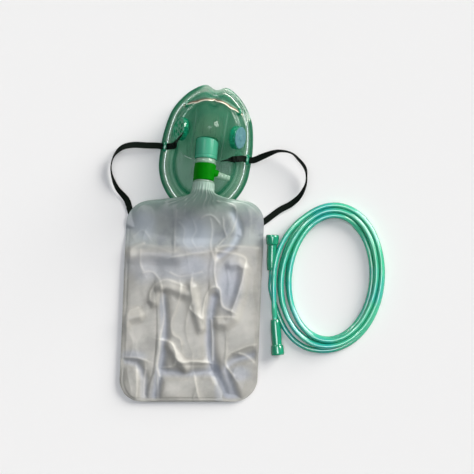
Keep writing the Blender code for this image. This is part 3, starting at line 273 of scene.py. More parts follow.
# Sharp creases, written in the same way as the folds
CREASES = (
    (0.0016, 0.0026, ((-45, 99), (-45, 90), (-38, 81), (-28, 77), (-14, 81))),
    (0.0018, 0.0024, ((-34, 83), (-32, 98), (-30, 118), (-33, 138), (-33, 151), (-35, 166), (-32, 178))),
    (0.0015, 0.0026, ((-2, 74), (-3, 82), (-1, 97), (-3, 105), (4, 112), (10, 116))),
    (0.0012, 0.0026, ((-14, 81), (-14, 92), (-18, 107), (-22, 121), (-20, 133), (-12, 138), (-10, 144))),
    (0.0019, 0.0024, ((-30, 140), (-21, 143), (-16, 152), (-15, 158), (-9, 162), (6, 161), (19, 162))),
    (0.0010, 0.0020, ((-29, 169), (-18, 167), (-15, 160))),
    (0.0017, 0.0024, ((11, 116), (11, 106), (13, 93), (19, 83), (27, 84), (29, 96), (32, 103), (41, 107))),
    (0.0017, 0.0022, ((20, 117), (22, 141), (23, 159))),
    (0.0013, 0.0018, ((23, 114), (41, 113))),
    (0.0013, 0.0018, ((22, 43), (21, 66), (24, 81))),
    (0.0013, 0.0024, ((22, 45), (36, 46), (52, 50), (53, 59), (50, 77), (45, 95), (40, 108))),
    (0.0010, 0.0024, ((21, 42), (31, 39), (46, 39), (69, 40))),
    (0.0018, 0.0024, ((68, 141), (59, 143), (50, 147), (42, 151), (37, 157), (38, 165), (46, 175))),
    (0.0014, 0.0022, ((51, 151), (58, 153), (66, 159), (70, 163))),
    (0.0014, 0.0022, ((-70, 160), (-56, 160), (-47, 162))),
    (0.0014, 0.0028, ((-69, 127), (-69, 118), (-66, 112), (-58, 108))),
    (0.0013, 0.0024, ((-56, 173), (-55, 190), (-56, 205))),
    (0.0013, 0.0024, ((-47, 171), (-48, 189), (-47, 205))),
    (0.0013, 0.0026, ((-34, 174), (-33, 204))),
    (0.0013, 0.0026, ((5, 177), (7, 187), (11, 202))),
    (-0.0016, 0.0034, ((-40, 90), (-38, 114), (-37, 136), (-38, 159), (-40, 177), (-46, 194), (-47, 205))),
    (-0.0016, 0.0036, ((16, 87), (15, 111), (17, 142), (19, 161), (28, 179), (38, 199))),
    (-0.0012, 0.0026, ((-14, 166), (0, 165), (19, 164))),
    (0.0009, 0.0020, ((-54, 71), (-48, 69), (-42, 70), (-37, 76))),
    (0.0012, 0.0014, ((19, -8), (33, -6), (40, -2), (42, 8), (40, 18), (36, 26), (29, 33), (23, 40))),
    (0.0009, 0.0013, ((5, 11), (10, 8), (17, 8), (24, 15))),
    (0.0009, 0.0013, ((28, 11), (29, 20), (32, 28))),
    (0.0016, 0.0034, ((-72, 53), (-64, 44), (-54, 40))),
    (0.0005, 0.0026, ((-54, 41), (-40, 43), (-23, 48), (-17, 42), (-5, 43), (7, 41))),
    (0.0008, 0.0022, ((-24, 53), (-5, 49), (9, 47))),
    (0.0008, 0.0022, ((-25, 69), (-13, 73), (8, 67))),
    (0.0008, 0.0022, ((-57, 47), (-57, 60), (-53, 69))),
    (-0.0005, 0.0024, ((-25, 4), (-24, 20), (-25, 36), (-24, 52))),
    (0.0006, 0.0016, ((-21, 4), (-22, 20), (-22, 36), (-21, 48))),
    (0.0008, 0.0018, ((15, 12), (17, 24), (16, 40), (20, 52))),
    (0.0005, 0.0016, ((-18, 16), (-12, 24), (-13, 36), (-8, 42))),
    (0.0005, 0.0016, ((-3, 14), (0, 24), (-4, 34), (1, 42))),
    (0.0005, 0.0016, ((-66, 34), (-56, 26), (-48, 34))))
CREASE_REACH = 6.0
CREASE_SHARE = 0.86
CREASE_STEEP = 1.7
CREASE_GENTLE = 0.50
WRINKLE_HEIGHT = 0.0007
# Blue-grey panes painted on the film as a reflection: place across and down, half width, half height, strength
COOL_REFLECTION_PANES = ((-0.020, 0.063, 0.056, 0.016, 0.6), (-0.002, 0.062, 0.020, 0.013, 0.8),
              (0.037, 0.078, 0.014, 0.028, 0.9), (-0.052, 0.066, 0.014, 0.016, 0.5),
              (0.052, 0.172, 0.012, 0.008, 0.7), (0.000, 0.030, 0.018, 0.020, 0.7),
              (-0.054, 0.020, 0.012, 0.016, 0.5), (-0.060, 0.158, 0.014, 0.006, 0.6),
              (0.032, 0.186, 0.006, 0.018, 0.6))
# Pale panes painted on the film as a highlight
HIGHLIGHT_PANES = ((-0.008, 0.112, 0.021, 0.034, 0.55), (0.052, 0.122, 0.014, 0.026, 0.45),
              (-0.066, 0.050, 0.007, 0.006, 0.7), (0.000, 0.192, 0.024, 0.014, 0.25))
# Depth of a broad valley at which it is fully painted with the blue-grey reflection
VALLEY_DEPTH = 0.0040
# Breadth of the painted highlight along a crease's crest, in half widths
CREST_HIGHLIGHT_BREADTH = 0.55
# Noise on the film: waves a metre across and down, and the slice they are taken from
WAVE_HEIGHT = 0.0010
WAVE_GRAIN = (55, 32, 0.3)
WRINKLE_GRAIN = (62, 24, 7.7)
WRINKLE_WIDTH = 2.4
PATCH_GRAIN = (30, 30, 2.2)
PLEAT_GRAIN = (3.1, 26, 9.4)
# Grain of the patches in which the crest highlight is painted
CREST_HIGHLIGHT_GRAIN = 70

# Supply tubing
TUBE_DIAMETER = 0.0055
COIL_CENTRE = Vector((0.1320, -0.0354, 0.0))
COIL_HALF_X = 0.0487
COIL_HALF_Y = 0.0704
COIL_TURN = math.radians(-5)
LEAD_A = ((0.0690, -0.0290, 0.0051), (0.0689, -0.0325, 0.0049), (0.0684, -0.0390, 0.0036), (0.0682, -0.0470, 0.0029),
          (0.0700, -0.0560, 0.0028), (0.0731, -0.0660, 0.0028), (0.0764, -0.0760, 0.0028))
LEAD_B = ((0.0726, -0.0800, 0.0068), (0.0724, -0.0775, 0.0069), (0.0720, -0.0735, 0.0080), (0.0716, -0.0670, 0.0093),
          (0.0713, -0.0560, 0.0094), (0.0712, -0.0460, 0.0092), (0.0715, -0.0370, 0.0090))
FUNNEL_LENGTH = 0.0375
FUNNEL_MOUTH = 0.0068
FUNNEL_RIM = 0.0095
FUNNEL_BODY = 0.0054
FUNNEL_SOCKET = 0.0046
FUNNEL_SOCKET_DEPTH = 0.0180
# Coil: angle where it starts and ends, turns of the lower layer, the climb, and places of both layers in diameters
COIL_START = 212.9
COIL_END = 185.2 + 5 * 360
LOWER_TURNS = 2.5
CLIMB_TURNS = 0.16
LOWER_START_INSET = -1.25
UPPER_START_INSET = 1.20
JOIN_OUT = 1.12
JOIN_ANGLE = 52.0
LEAVE_OUT = 1.0
LEAVE_ANGLE = 70.0
# The turns spread outwards on the left: how far in diameters, and the angle of its middle and its half reach
SPREAD_OUT = 1.6
SPREAD_MIDDLE = 208.0
SPREAD_REACH = 85.0
COIL_STEP = 5.0


# Curves and surfaces


def smoothstep(x):
    x = min(1.0, max(0.0, x))
    return x * x * (3 - 2 * x)


def curve_value(knots, x):
    """Height at x of a smooth curve through the knots that never overshoots them."""
    if x <= knots[0][0]:
        return knots[0][1]
    if x >= knots[-1][0]:
        return knots[-1][1]
    i = next(k for k in range(len(knots) - 1) if x <= knots[k + 1][0])
    rise = [(b[1] - a[1]) / (b[0] - a[0]) for a, b in zip(knots, knots[1:])]

    def slope(k):
        if k == 0 or k == len(rise):
            return rise[min(k, len(rise) - 1)]
        before, after = rise[k - 1], rise[k]
        return 0.0 if before * after <= 0 else 2 * before * after / (before + after)

    (x0, y0), (x1, y1) = knots[i], knots[i + 1]
    width = x1 - x0
    t = (x - x0) / width
    return ((1 + 2 * t) * (1 - t) ** 2 * y0 + t * (1 - t) ** 2 * width * slope(i)
            + t * t * (3 - 2 * t) * y1 + t * t * (t - 1) * width * slope(i + 1))


def spline(points, steps, closed=False):
    """Points along a smooth curve through the given points, steps to each span."""
    count = len(points)
    spans = count if closed else count - 1
    result = []
    for i in range(spans):
        if closed:
            p0, p1, p2, p3 = (points[(i + k) % count] for k in (-1, 0, 1, 2))
        else:
            p0, p1, p2, p3 = (points[min(max(i + k, 0), count - 1)] for k in (-1, 0, 1, 2))
        for k in range(steps):
            t = k / steps
            result.append((p1 * 2 + (p2 - p0) * t + (p0 * 2 - p1 * 5 + p2 * 4 - p3) * t * t
                           + (p1 * 3 - p0 - p2 * 3 + p3) * t ** 3) / 2)
    if not closed:
        result.append(points[-1].copy())
    return result


# Meshes


def link_mesh(name, bm, material, sharp=math.radians(40)):
    """Puts a mesh in the scene, with its normals outwards and smooth up to an angle."""
    bmesh.ops.remove_doubles(bm, verts=bm.verts, dist=1e-6)
    bmesh.ops.recalc_face_normals(bm, faces=bm.faces)
    mesh = bpy.data.meshes.new(name)
    bm.to_mesh(mesh)
    bm.free()
    mesh.shade_smooth()
    mesh.set_sharp_from_angle(angle=sharp)
    mesh.materials.append(material)
    item = bpy.data.objects.new(name, mesh)
    bpy.context.scene.collection.objects.link(item)
    return item


def apply_modifiers(item, sharp=math.radians(40)):
    """Bakes the modifiers into the mesh, deletes the helpers and shades the result by angle."""
    helpers = [modifier.object for modifier in item.modifiers if modifier.type == "BOOLEAN"]
    depsgraph = bpy.context.evaluated_depsgraph_get()
    mesh = bpy.data.meshes.new_from_object(item.evaluated_get(depsgraph))
    item.modifiers.clear()
    item.data = mesh
    mesh.name = item.name
    mesh.shade_smooth()
    mesh.set_sharp_from_angle(angle=sharp)
    for helper in helpers:
        bpy.data.objects.remove(helper, do_unlink=True)


def add_boolean(item, helper, operation, use_self=False):
    modifier = item.modifiers.new(helper.name, "BOOLEAN")
    modifier.operation = operation
    modifier.solver = "EXACT"
    modifier.material_mode = "TRANSFER"
    modifier.use_self = use_self
    modifier.object = helper


def lathe(bm, profile, matrix=Matrix(), steps=ROUND_STEPS):
    """Turns a profile of (radius, station) points about the local Z axis, closed unless it starts on the axis."""
    turns = [(math.cos(math.tau * k / steps), math.sin(math.tau * k / steps)) for k in range(steps)]
    rings = []
    for radius, station in profile:
        if radius > 0:
            rings.append([bm.verts.new(matrix @ Vector((radius * x, radius * y, station))) for x, y in turns])
        else:
            rings.append([bm.verts.new(matrix @ Vector((0.0, 0.0, station)))] * steps)
    if profile[0][0] > 0:
        rings.append(rings[0])
    for ring, following in zip(rings, rings[1:]):
        for k in range(steps):
            corners = (ring[k - 1], ring[k], following[k], following[k - 1])
            bm.faces.new(tuple(dict.fromkeys(corners)))


def rounded(profile, radius, steps=3):
    """Rounds the corners of a (radius, station) profile, apart from its ends."""
    result = [Vector(profile[0])]
    for before, corner, after in zip(profile, profile[1:], profile[2:]):
        a, b, c = Vector(before), Vector(corner), Vector(after)
        reach = min(radius, (a - b).length * 0.45, (c - b).length * 0.45)
        start = b + (a - b).normalized() * reach
        end = b + (c - b).normalized() * reach
        for k in range(steps + 1):
            t = k / steps
            result.append(start.lerp(b, t).lerp(b.lerp(end, t), t))
    result.append(Vector(profile[-1]))
    return [(max(p.x, 0.0), p.y) for p in result]


def turned(name, material, profile, matrix, edge=None, steps=ROUND_STEPS):
    """A piece made of one turned profile, with its edges rounded if a radius is given."""
    bm = bmesh.new()
    lathe(bm, rounded(profile, edge) if edge else profile, matrix, steps)
    return link_mesh(name, bm, material)


def add_loft(bm, rings, capped=True, looped=False):
    """Skins a row of vertex rings of equal length."""
    rows = [[bm.verts.new(point) for point in ring] for ring in rings]
    pairs = list(zip(rows, rows[1:]))
    if looped:
        pairs.append((rows[-1], rows[0]))
    for row, following in pairs:
        count = len(row)
        for k in range(count):
            bm.faces.new((row[k], row[(k + 1) % count], following[(k + 1) % count], following[k]))
    if capped and not looped:
        bm.faces.new(rows[0])
        bm.faces.new(rows[-1])


def add_layers(bm, names, rows):
    """Gives each vertex one value for each name, from rows in the order of the vertices."""
    layers = [bm.verts.layers.float.new(name) for name in names]
    for vert, row in zip(bm.verts, rows):
        for layer, value in zip(layers, row):
            vert[layer] = value


def soft_square(angle, roundness):
    """Point on a unit circle that is drawn out towards a square."""
    x, y = math.cos(angle), math.sin(angle)
    return math.copysign(abs(x) ** roundness, x), math.copysign(abs(y) ** roundness, y)


def frame_from(origin, along, up):
    """Matrix with its Z axis along the first direction and its Y axis near the second."""
    z_axis = along.normalized()
    x_axis = up.cross(z_axis).normalized()
    y_axis = z_axis.cross(x_axis)
    rotation = Matrix((x_axis, y_axis, z_axis)).transposed().to_4x4()
    return Matrix.Translation(origin) @ rotation


def dress(item, node):
    """Makes a piece ride on the part and stand for one of its nodes."""
    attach(item, BODY)
    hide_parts(node)


# Materials


class Shader:
    """A short way to write a node tree."""

    def __init__(self, name):
        self.material = bpy.data.materials.new(name)
        self.material.use_nodes = True
        self.tree = self.material.node_tree
        self.tree.nodes.clear()

    def add(self, kind, inputs=None, **settings):
        node = self.tree.nodes.new("ShaderNode" + kind)
        for key, value in settings.items():
            setattr(node, key, value)
        for key, value in (inputs or {}).items():
            if isinstance(value, bpy.types.NodeSocket):
                self.tree.links.new(value, node.inputs[key])
            else:
                node.inputs[key].default_value = value
        return node

    def math(self, operation, a, b=0.0, clamp=False):
        return self.add("Math", {0: a, 1: b}, operation=operation, use_clamp=clamp).outputs[0]

    def spread(self, value, low, high, to_low=0.0, to_high=1.0):
        """Maps a value smoothly from one range to another."""
        inputs = {"Value": value, "From Min": low, "From Max": high, "To Min": to_low, "To Max": to_high}
        return self.add("MapRange", inputs, interpolation_type="SMOOTHSTEP").outputs["Result"]

    def colour_mix(self, factor, a, b):
        node = self.add("Mix", data_type="RGBA")
        for key, value in (("Factor_Float", factor), ("A_Color", a), ("B_Color", b)):
            socket = next(s for s in node.inputs if s.identifier == key)
            if isinstance(value, bpy.types.NodeSocket):
                self.tree.links.new(value, socket)
            else:
                socket.default_value = value
        return next(s for s in node.outputs if s.identifier == "Result_Color")

    def shader_mix(self, factor, a, b):
        return self.add("MixShader", {0: factor, 1: a, 2: b}).outputs[0]

    def attribute(self, name):
        return self.add("Attribute", attribute_name=name).outputs["Fac"]

    def band(self, value, low, high, fade):
        """1 between two values and 0 outside them, with a soft step at each."""
        rise = self.spread(value, low - fade, low)
        fall = self.spread(value, high, high + fade, 1.0, 0.0)
        return self.math("MULTIPLY", rise, fall)

    def grain(self, place, scale, detail, roughness=0.5):
        inputs = {"Vector": place, "Scale": scale, "Detail": detail, "Roughness": roughness}
        return self.add("TexNoise", inputs).outputs["Fac"]

    def bump(self, height, strength, distance):
        return self.add("Bump", {"Height": height, "Strength": strength, "Distance": distance}).outputs[0]

    def position(self):
        return self.add("TexCoord").outputs["Object"]

    def split(self, vector):
        return self.add("SeparateXYZ", {0: vector}).outputs

    def finish(self, surface):
        self.add("OutputMaterial", {"Surface": surface})
        return self.material


def rgb(red, green, blue):
    """Linear colour of an sRGB colour given in steps of 255."""
    channels = []
    for value in (red, green, blue):
        share = value / 255
        channels.append(share / 12.92 if share <= 0.04045 else ((share + 0.055) / 1.055) ** 2.4)
    return (*channels, 1.0)


# Shell's tints: the heights between which the tint below turns into the next one. The low rim's pale tint is partly
# its thinner vinyl and partly painted light
SHELL_FOOT_TINT = (0.24, 0.60, 0.46, 1)
SHELL_TINTS = ((0.0010, 0.0030, (0.90, 0.95, 0.89, 1)), (0.0062, 0.0105, (0.52, 0.80, 0.69, 1)),
               (0.0130, 0.0190, (0.61, 0.755, 0.682, 1)), (0.0340, 0.0430, (0.67, 0.77, 0.68, 1)))
SHELL_EDGE_TINT = (0.10, 0.52, 0.38, 1)
SHELL_BODY = rgb(88, 150, 122)
SHELL_EDGE_BODY = rgb(14, 118, 88)
# Pale colour of the painted highlight lines on the dome's sides and the chin's step
SHELL_HIGHLIGHT_LINE = rgb(216, 232, 222)
STREAK_SCALE = (620.0, 45.0, 60.0)
# Lines in the mask's own axes, painted pale as highlights: along the creases of the dome's two sides and an arc on
# the step by the chin; and the bead of the rim
DOME_LINE_U = (0.0160, 0.0163)
DOME_LINE_V = (-0.004, 0.036)
CHIN_LINE_U = (-0.0215, -0.0145)
CHIN_LINE_V = (-0.0128, -0.0124)
CHIN_LINE_MIDDLE = -0.0135
CHIN_LINE_BOW = 28.0
BEAD_INSET = (0.0058, 0.0066)

# Film: names of its vertex layers, whose last two hold the shares of painted blue-grey reflection and painted
# highlight; then the darker and lighter tone of each of its colours
FILM_LAYERS = ("relief", "down", "cool_reflection", "crest")
FILM_WARM = (rgb(164, 163, 157), rgb(190, 188, 181))
# Blue-grey of a painted reflection
FILM_COOL_REFLECTION = (rgb(164, 170, 181), rgb(186, 190, 200))
# Greyer film by the neck: painted shade where the film lies over the mask's chin
FILM_SHADE_GREY = (rgb(152, 158, 162), rgb(178, 184, 182))
# Film by the neck: its lighter tone is a painted highlight on the pleats
FILM_NECK_AND_PLEAT_HIGHLIGHT = (rgb(172, 200, 186), rgb(206, 220, 212))
# Blue-grey of the painted reflection in the greyer film by the neck
FILM_GREY_COOL_REFLECTION = rgb(190, 200, 210)
# Colour of the painted highlight on crease crests and panes
FILM_CREST_HIGHLIGHT = rgb(228, 226, 217)
FILM_CLEAR = (0.95, 0.97, 0.96, 1)
# Places down the bag between which the painted shade fades out
SHADE_GREY_UNTIL = (0.043, 0.054)
NECK_UNTIL = (-0.008, 0.020)

# Strap: its darker and lighter tone. Clip: the two creams of a painted highlight along one edge, and the brown and
# green of the mask that it mirrors as a painted reflection
ELASTIC_BLACK = ((0.0008, 0.0028, 0.0014, 1), (0.004, 0.010, 0.006, 1))
CLIP_CREAM_HIGHLIGHT = (rgb(226, 220, 196), rgb(244, 240, 222))
CLIP_MIRROR = (rgb(128, 100, 80), rgb(84, 122, 102))


def gloss_share(shader, face_on):
    """Share of light that a clear skin reflects: the given one face on, more at its edges, none from within."""
    facing = shader.add("LayerWeight", {"Blend": 0.5}).outputs["Facing"]
    rise = shader.math("MULTIPLY", shader.math("POWER", facing, 5.0), 0.22)
    outside = shader.math("SUBTRACT", 1.0, shader.add("NewGeometry").outputs["Backfacing"])
    return shader.math("MULTIPLY", shader.math("ADD", rise, face_on), outside)


def clear_plastic(shader, tints, bodies, milk, gloss=0.045, roughness=0.08, normal=None, shade=0.0):
    """Clear tinted plastic: light goes straight through, with a milky share and a gloss over both.

    Each pair of colours is the one seen face on and the one at the edges. The shade is the share of light
    that thick walls bend aside, so that it is missing from the shadow.
    """
    edge = shader.math("POWER", shader.add("LayerWeight", {"Blend": 0.5}).outputs["Facing"], 1.5)
    through = shader.add("BsdfTransparent", {"Color": shader.colour_mix(edge, *tints)}).outputs[0]
    body_inputs = {"Color": shader.colour_mix(edge, *bodies)}
    gloss_inputs = {"Roughness": roughness}
    if normal:
        body_inputs["Normal"] = normal
        gloss_inputs["Normal"] = normal
    body = shader.add("BsdfDiffuse", body_inputs).outputs[0]
    shine = shader.add("BsdfAnisotropic", gloss_inputs).outputs[0]
    in_shadow = shader.math("MULTIPLY", shader.add("LightPath").outputs["Is Shadow Ray"], shade)
    solid_share = shader.math("ADD", milk, in_shadow, clamp=True)
    return shader.shader_mix(gloss_share(shader, gloss), shader.shader_mix(solid_share, through, body), shine)


def shell_material():
    """Soft green vinyl: a deep green edge, a paler rim partly of painted light, a teal wall, a grey-green dome that
    pales at its top, and painted highlight lines.
    """
    shader = Shader("clear_green_vinyl")
    place = shader.position()
    height = shader.split(place)["Z"]
    u, v = shader.attribute("u"), shader.attribute("v")
    tint = SHELL_FOOT_TINT
    for low, high, above in SHELL_TINTS:
        tint = shader.colour_mix(shader.spread(height, low, high), tint, above)

    # Painted highlights: pale lines along the dome's side creases and on the chin's step, which are milkier too
    dome_side_highlight = shader.math("MULTIPLY", shader.band(shader.math("ABSOLUTE", u), *DOME_LINE_U, 0.0007),
                            shader.band(v, *DOME_LINE_V, 0.010))
    off_middle = shader.math("POWER", shader.math("ADD", u, -CHIN_LINE_MIDDLE), 2.0)
    arc = shader.math("ADD", v, shader.math("MULTIPLY", off_middle, -CHIN_LINE_BOW))
    chin_step_highlight = shader.math("MULTIPLY", shader.band(arc, *CHIN_LINE_V, 0.0006), shader.band(u, *CHIN_LINE_U, 0.002))
    painted_highlight = shader.math("ADD", shader.math("MULTIPLY", dome_side_highlight, 0.30), shader.math("MULTIPLY", chin_step_highlight, 0.9))

    flow = shader.grain(place, 55.0, 2.0)
    streaks = shader.grain(shader.add("Mapping", {"Vector": place, "Scale": STREAK_SCALE}).outputs[0], 1.0, 3.0)
    milk = shader.math("ADD", shader.spread(flow, 0.3, 0.7, 0.10, 0.15),
                       shader.spread(streaks, 0.55, 0.8, 0.0, 0.16))
    milk = shader.math("ADD", milk, shader.math("MULTIPLY", painted_highlight, 0.6), clamp=True)

    shine = shader.spread(height, 0.0165, 0.0188, 0.085, 0.016)
    shine = shader.math("MULTIPLY", shine, shader.spread(v, 0.030, 0.045, 1.0, 0.55))
    shine = shader.math("ADD", shine, shader.spread(height, 0.0400, 0.0460, 0.0, 0.018))
    bead = shader.band(shader.attribute("inset"), *BEAD_INSET, 0.0007)
    shine = shader.math("ADD", shine, shader.math("MULTIPLY", bead, 0.16))
    # The body colour turns to the painted highlight's pale along those lines
    bodies = (shader.colour_mix(painted_highlight, SHELL_BODY, SHELL_HIGHLIGHT_LINE), SHELL_EDGE_BODY)
    return shader.finish(clear_plastic(shader, (tint, SHELL_EDGE_TINT), bodies, milk, gloss=shine, roughness=0.06,
                                       normal=shader.bump(flow, 0.10, 0.001), shade=0.10))


def moulding_material(name, tint, body, milk, gloss=0.025, roughness=0.24):
    """Thicker mouldings of the same vinyl: the port, valve seats and loops."""
    shader = Shader(name)
    bump = shader.bump(shader.grain(shader.position(), 90.0, 2.0), 0.08, 0.001)
    tints = (tint, (0.00, 0.54, 0.38, 1))
    return shader.finish(clear_plastic(shader, tints, (body, rgb(0, 140, 102)), milk, gloss, roughness, bump))


def film_material():
    """Frosted soft film: warm grey, with painted blue-grey reflection in valleys and panes and painted highlights on
    crests, panes and the neck's pleats; greyer with painted shade and clearer up to the neck.
    """
    shader = Shader("bag_film")
    place = shader.position()
    relief, down, cool_reflection_share, crest = (shader.attribute(name) for name in FILM_LAYERS)
    tone = shader.spread(shader.grain(place, 34.0, 5.0, 0.6), 0.35, 0.65)
    # Painted blue-grey reflection, where its share is set
    film = shader.colour_mix(cool_reflection_share, shader.colour_mix(tone, *FILM_WARM), shader.colour_mix(tone, *FILM_COOL_REFLECTION))
    grey = shader.colour_mix(cool_reflection_share, shader.colour_mix(tone, *FILM_SHADE_GREY), FILM_GREY_COOL_REFLECTION)
    # Painted shade: the film turns greyer and darker up to the neck
    film = shader.colour_mix(shader.spread(down, *SHADE_GREY_UNTIL, 1.0, 0.0), film, grey)
    # Painted highlight on crease crests and panes
    film = shader.colour_mix(shader.math("MULTIPLY", crest, 0.55), film, FILM_CREST_HIGHLIGHT)
    neck = shader.spread(down, *NECK_UNTIL, 1.0, 0.0)
    # Pleat crests take the lighter neck tone as a painted highlight, and are less clear
    pleat = shader.spread(relief, 0.0001, 0.0005)
    film = shader.colour_mix(neck, film, shader.colour_mix(pleat, *FILM_NECK_AND_PLEAT_HIGHLIGHT))

    bump = shader.bump(shader.grain(place, 420.0, 3.0), 0.08, 0.0004)
    solid = shader.add("BsdfDiffuse", {"Color": film, "Normal": bump}).outputs[0]
    through = shader.add("BsdfTransparent", {"Color": FILM_CLEAR}).outputs[0]
    shine = shader.add("BsdfAnisotropic", {"Roughness": 0.30, "Normal": bump}).outputs[0]
    clearness = shader.math("MULTIPLY", shader.spread(neck, 0.0, 1.0, 0.14, 0.42),
                            shader.spread(pleat, 0.0, 1.0, 1.0, 0.55))
    film_share = shader.shader_mix(clearness, solid, through)
    return shader.finish(shader.shader_mix(gloss_share(shader, 0.036), film_share, shine))


def clear_part_material():
    """Hard clear plastic of the connector, slightly green."""
    shader = Shader("clear_plastic")
    tints = ((0.82, 0.95, 0.86, 1), (0.42, 0.72, 0.56, 1))
    bodies = (rgb(192, 220, 202), rgb(118, 176, 146))
    return shader.finish(clear_plastic(shader, tints, bodies, 0.44))


def opaque_material(name, colour, dark, roughness, scale, specular=0.3):
    """Opaque moulding with slight changes of tone."""
    shader = Shader(name)
    grain = shader.grain(shader.position(), scale, 3.0)
    tone = shader.colour_mix(shader.spread(grain, 0.3, 0.7), dark, colour)
    inputs = {"Base Color": tone, "Roughness": roughness, "Normal": shader.bump(grain, 0.1, 0.0005),
              "Specular IOR Level": specular}
    return shader.finish(shader.add("BsdfPrincipled", inputs).outputs[0])


def elastic_material():
    """Black braided elastic with fine cross ribs."""
    shader = Shader("strap_elastic")
    weave = shader.math("SINE", shader.math("MULTIPLY", shader.attribute("run"), math.tau / STRAP_WEAVE))
    relief = shader.math("ADD", weave, shader.grain(shader.position(), 1500.0, 2.0))
    bump = shader.bump(relief, 0.6, 0.00012)
    tone = shader.colour_mix(shader.spread(relief, -0.4, 1.4), *ELASTIC_BLACK)
    inputs = {"Base Color": tone, "Roughness": 0.7, "Normal": bump, "Specular IOR Level": 0.12}
    return shader.finish(shader.add("BsdfPrincipled", inputs).outputs[0])


def tube_material(name, tints, bodies, blue, milk):
    """Clear coloured tubing: light along its middle, deep at its edges, with slow changes of tone."""
    shader = Shader(name)
    flow = shader.grain(shader.position(), 26.0, 2.0)
    middle = shader.colour_mix(shader.spread(flow, 0.4, 0.65), bodies[0], blue)
    share = shader.spread(flow, 0.3, 0.7, milk - 0.06, milk + 0.06)
    return shader.finish(clear_plastic(shader, tints, (middle, bodies[1]), share, gloss=0.16, roughness=0.10,
                                       shade=0.36))


# Mask shell


def mask_outline():
    """Closed outline, clockwise from the notch at the nose, as fine points about the mask's centre."""
    half = [Vector((across * MASK_WIDTH / 2, along * MASK_LENGTH / 2)) for across, along in MASK_OUTLINE]
    chin = Vector((0.0, -MASK_LENGTH / 2))
    left = [Vector((-p.x, p.y)) for p in reversed(half[1:])]
    return spline(half + [chin] + left, 16, closed=True)


OUTLINE = mask_outline()
OUTLINE_BY_ANGLE = sorted((math.atan2(p.x, p.y), p.length) for p in OUTLINE)
MASK_FRAME = Matrix.Translation(MASK_CENTRE) @ Matrix.Rotation(MASK_TURN, 4, "Z")
MASK_INVERSE = MASK_FRAME.inverted()


def outline_radius(u, v):
    """Distance from the mask's centre to its edge in the direction of a point."""
    angle = math.atan2(u, v)
    table = OUTLINE_BY_ANGLE
    low, high = 0, len(table) - 1
    if angle <= table[0][0] or angle >= table[-1][0]:
        return (table[0][1] + table[-1][1]) / 2
    while high - low > 1:
        middle = (low + high) // 2
        if table[middle][0] <= angle:
            low = middle
        else:
            high = middle
    share = (angle - table[low][0]) / (table[high][0] - table[low][0])
    return table[low][1] * (1 - share) + table[high][1] * share


def half_width(v):
    """Half the mask's width at a distance along it."""
    right = [p for p in OUTLINE if p.x >= 0]
    best = min(right, key=lambda p: abs(p.y - v))
    return best.x


WIDTH_TABLE = [(v / 100 * MASK_LENGTH, half_width(v / 100 * MASK_LENGTH)) for v in range(-50, 51, 2)]


def mask_height(u, v):
    """Height of the mask's outer surface over a point in the mask's own axes."""
    inset = outline_radius(u, v) - math.hypot(u, v)
    nose = smoothstep((v + RIM_BLEND) / (2 * RIM_BLEND))
    rim = nose * curve_value(NOSE_RIM, inset) + (1 - nose) * curve_value(CHIN_RIM, inset)
    wall_inset = nose * NOSE_RIM[-1][0] + (1 - nose) * CHIN_RIM[-1][0]
    wall_top = nose * NOSE_RIM[-1][1] + (1 - nose) * CHIN_RIM[-1][1]
    room = max(curve_value(WIDTH_TABLE, v) - wall_inset, DOME_ROOM)
    across = min(1.0, abs(u) / room)
    crown = 0.5 + 0.5 * math.cos(math.pi * across ** CROWN_POWER)
    dome = max(0.0, curve_value(RIDGE, v) - wall_top) * crown
    bridge = smoothstep((v / MASK_LENGTH - BRIDGE_START) / BRIDGE_RUN)
    lift = NOSE_LIFT * math.exp(-(u / NOSE_LIFT_WIDTH) ** 2) * bridge
    return rim + lift + dome * smoothstep((inset - wall_inset) / DOME_BLEND)


def nose_steps(u, v):
    """Low moulded steps that follow the edge over the nose."""
    inset = outline_radius(u, v) - math.hypot(u, v)
    share = (smoothstep((v - STEP_START[0]) / STEP_START[1]) * smoothstep((inset - STEP_EDGE[0]) / STEP_EDGE[1])
             * smoothstep((STEP_INNER[0] - inset) / STEP_INNER[1]))
    return STEP_HEIGHT * share * math.sin(math.tau * inset / STEP_SPACING)


def mask_normal(u, v, step=0.0008):
    slope_u = (mask_height(u + step, v) - mask_height(u - step, v)) / (2 * step)
    slope_v = (mask_height(u, v + step) - mask_height(u, v - step)) / (2 * step)
    return Vector((-slope_u, -slope_v, 1.0)).normalized()


def on_mask(u, v, proud=0.0):
    """World point on the mask's outer surface, or proud of it."""
    point = Vector((u, v, mask_height(u, v))) + mask_normal(u, v) * proud
    return MASK_FRAME @ point


def ring_places(ring):
    """Grid places round one square ring, clockwise from the middle of its top side."""
    places = [(k, ring) for k in range(ring)]
    places += [(ring, k) for k in range(ring, -ring, -1)]
    places += [(k, -ring) for k in range(ring, -ring, -1)]
    places += [(-ring, k) for k in range(-ring, ring)]
    places += [(k, ring) for k in range(-ring, 0)]
    return places


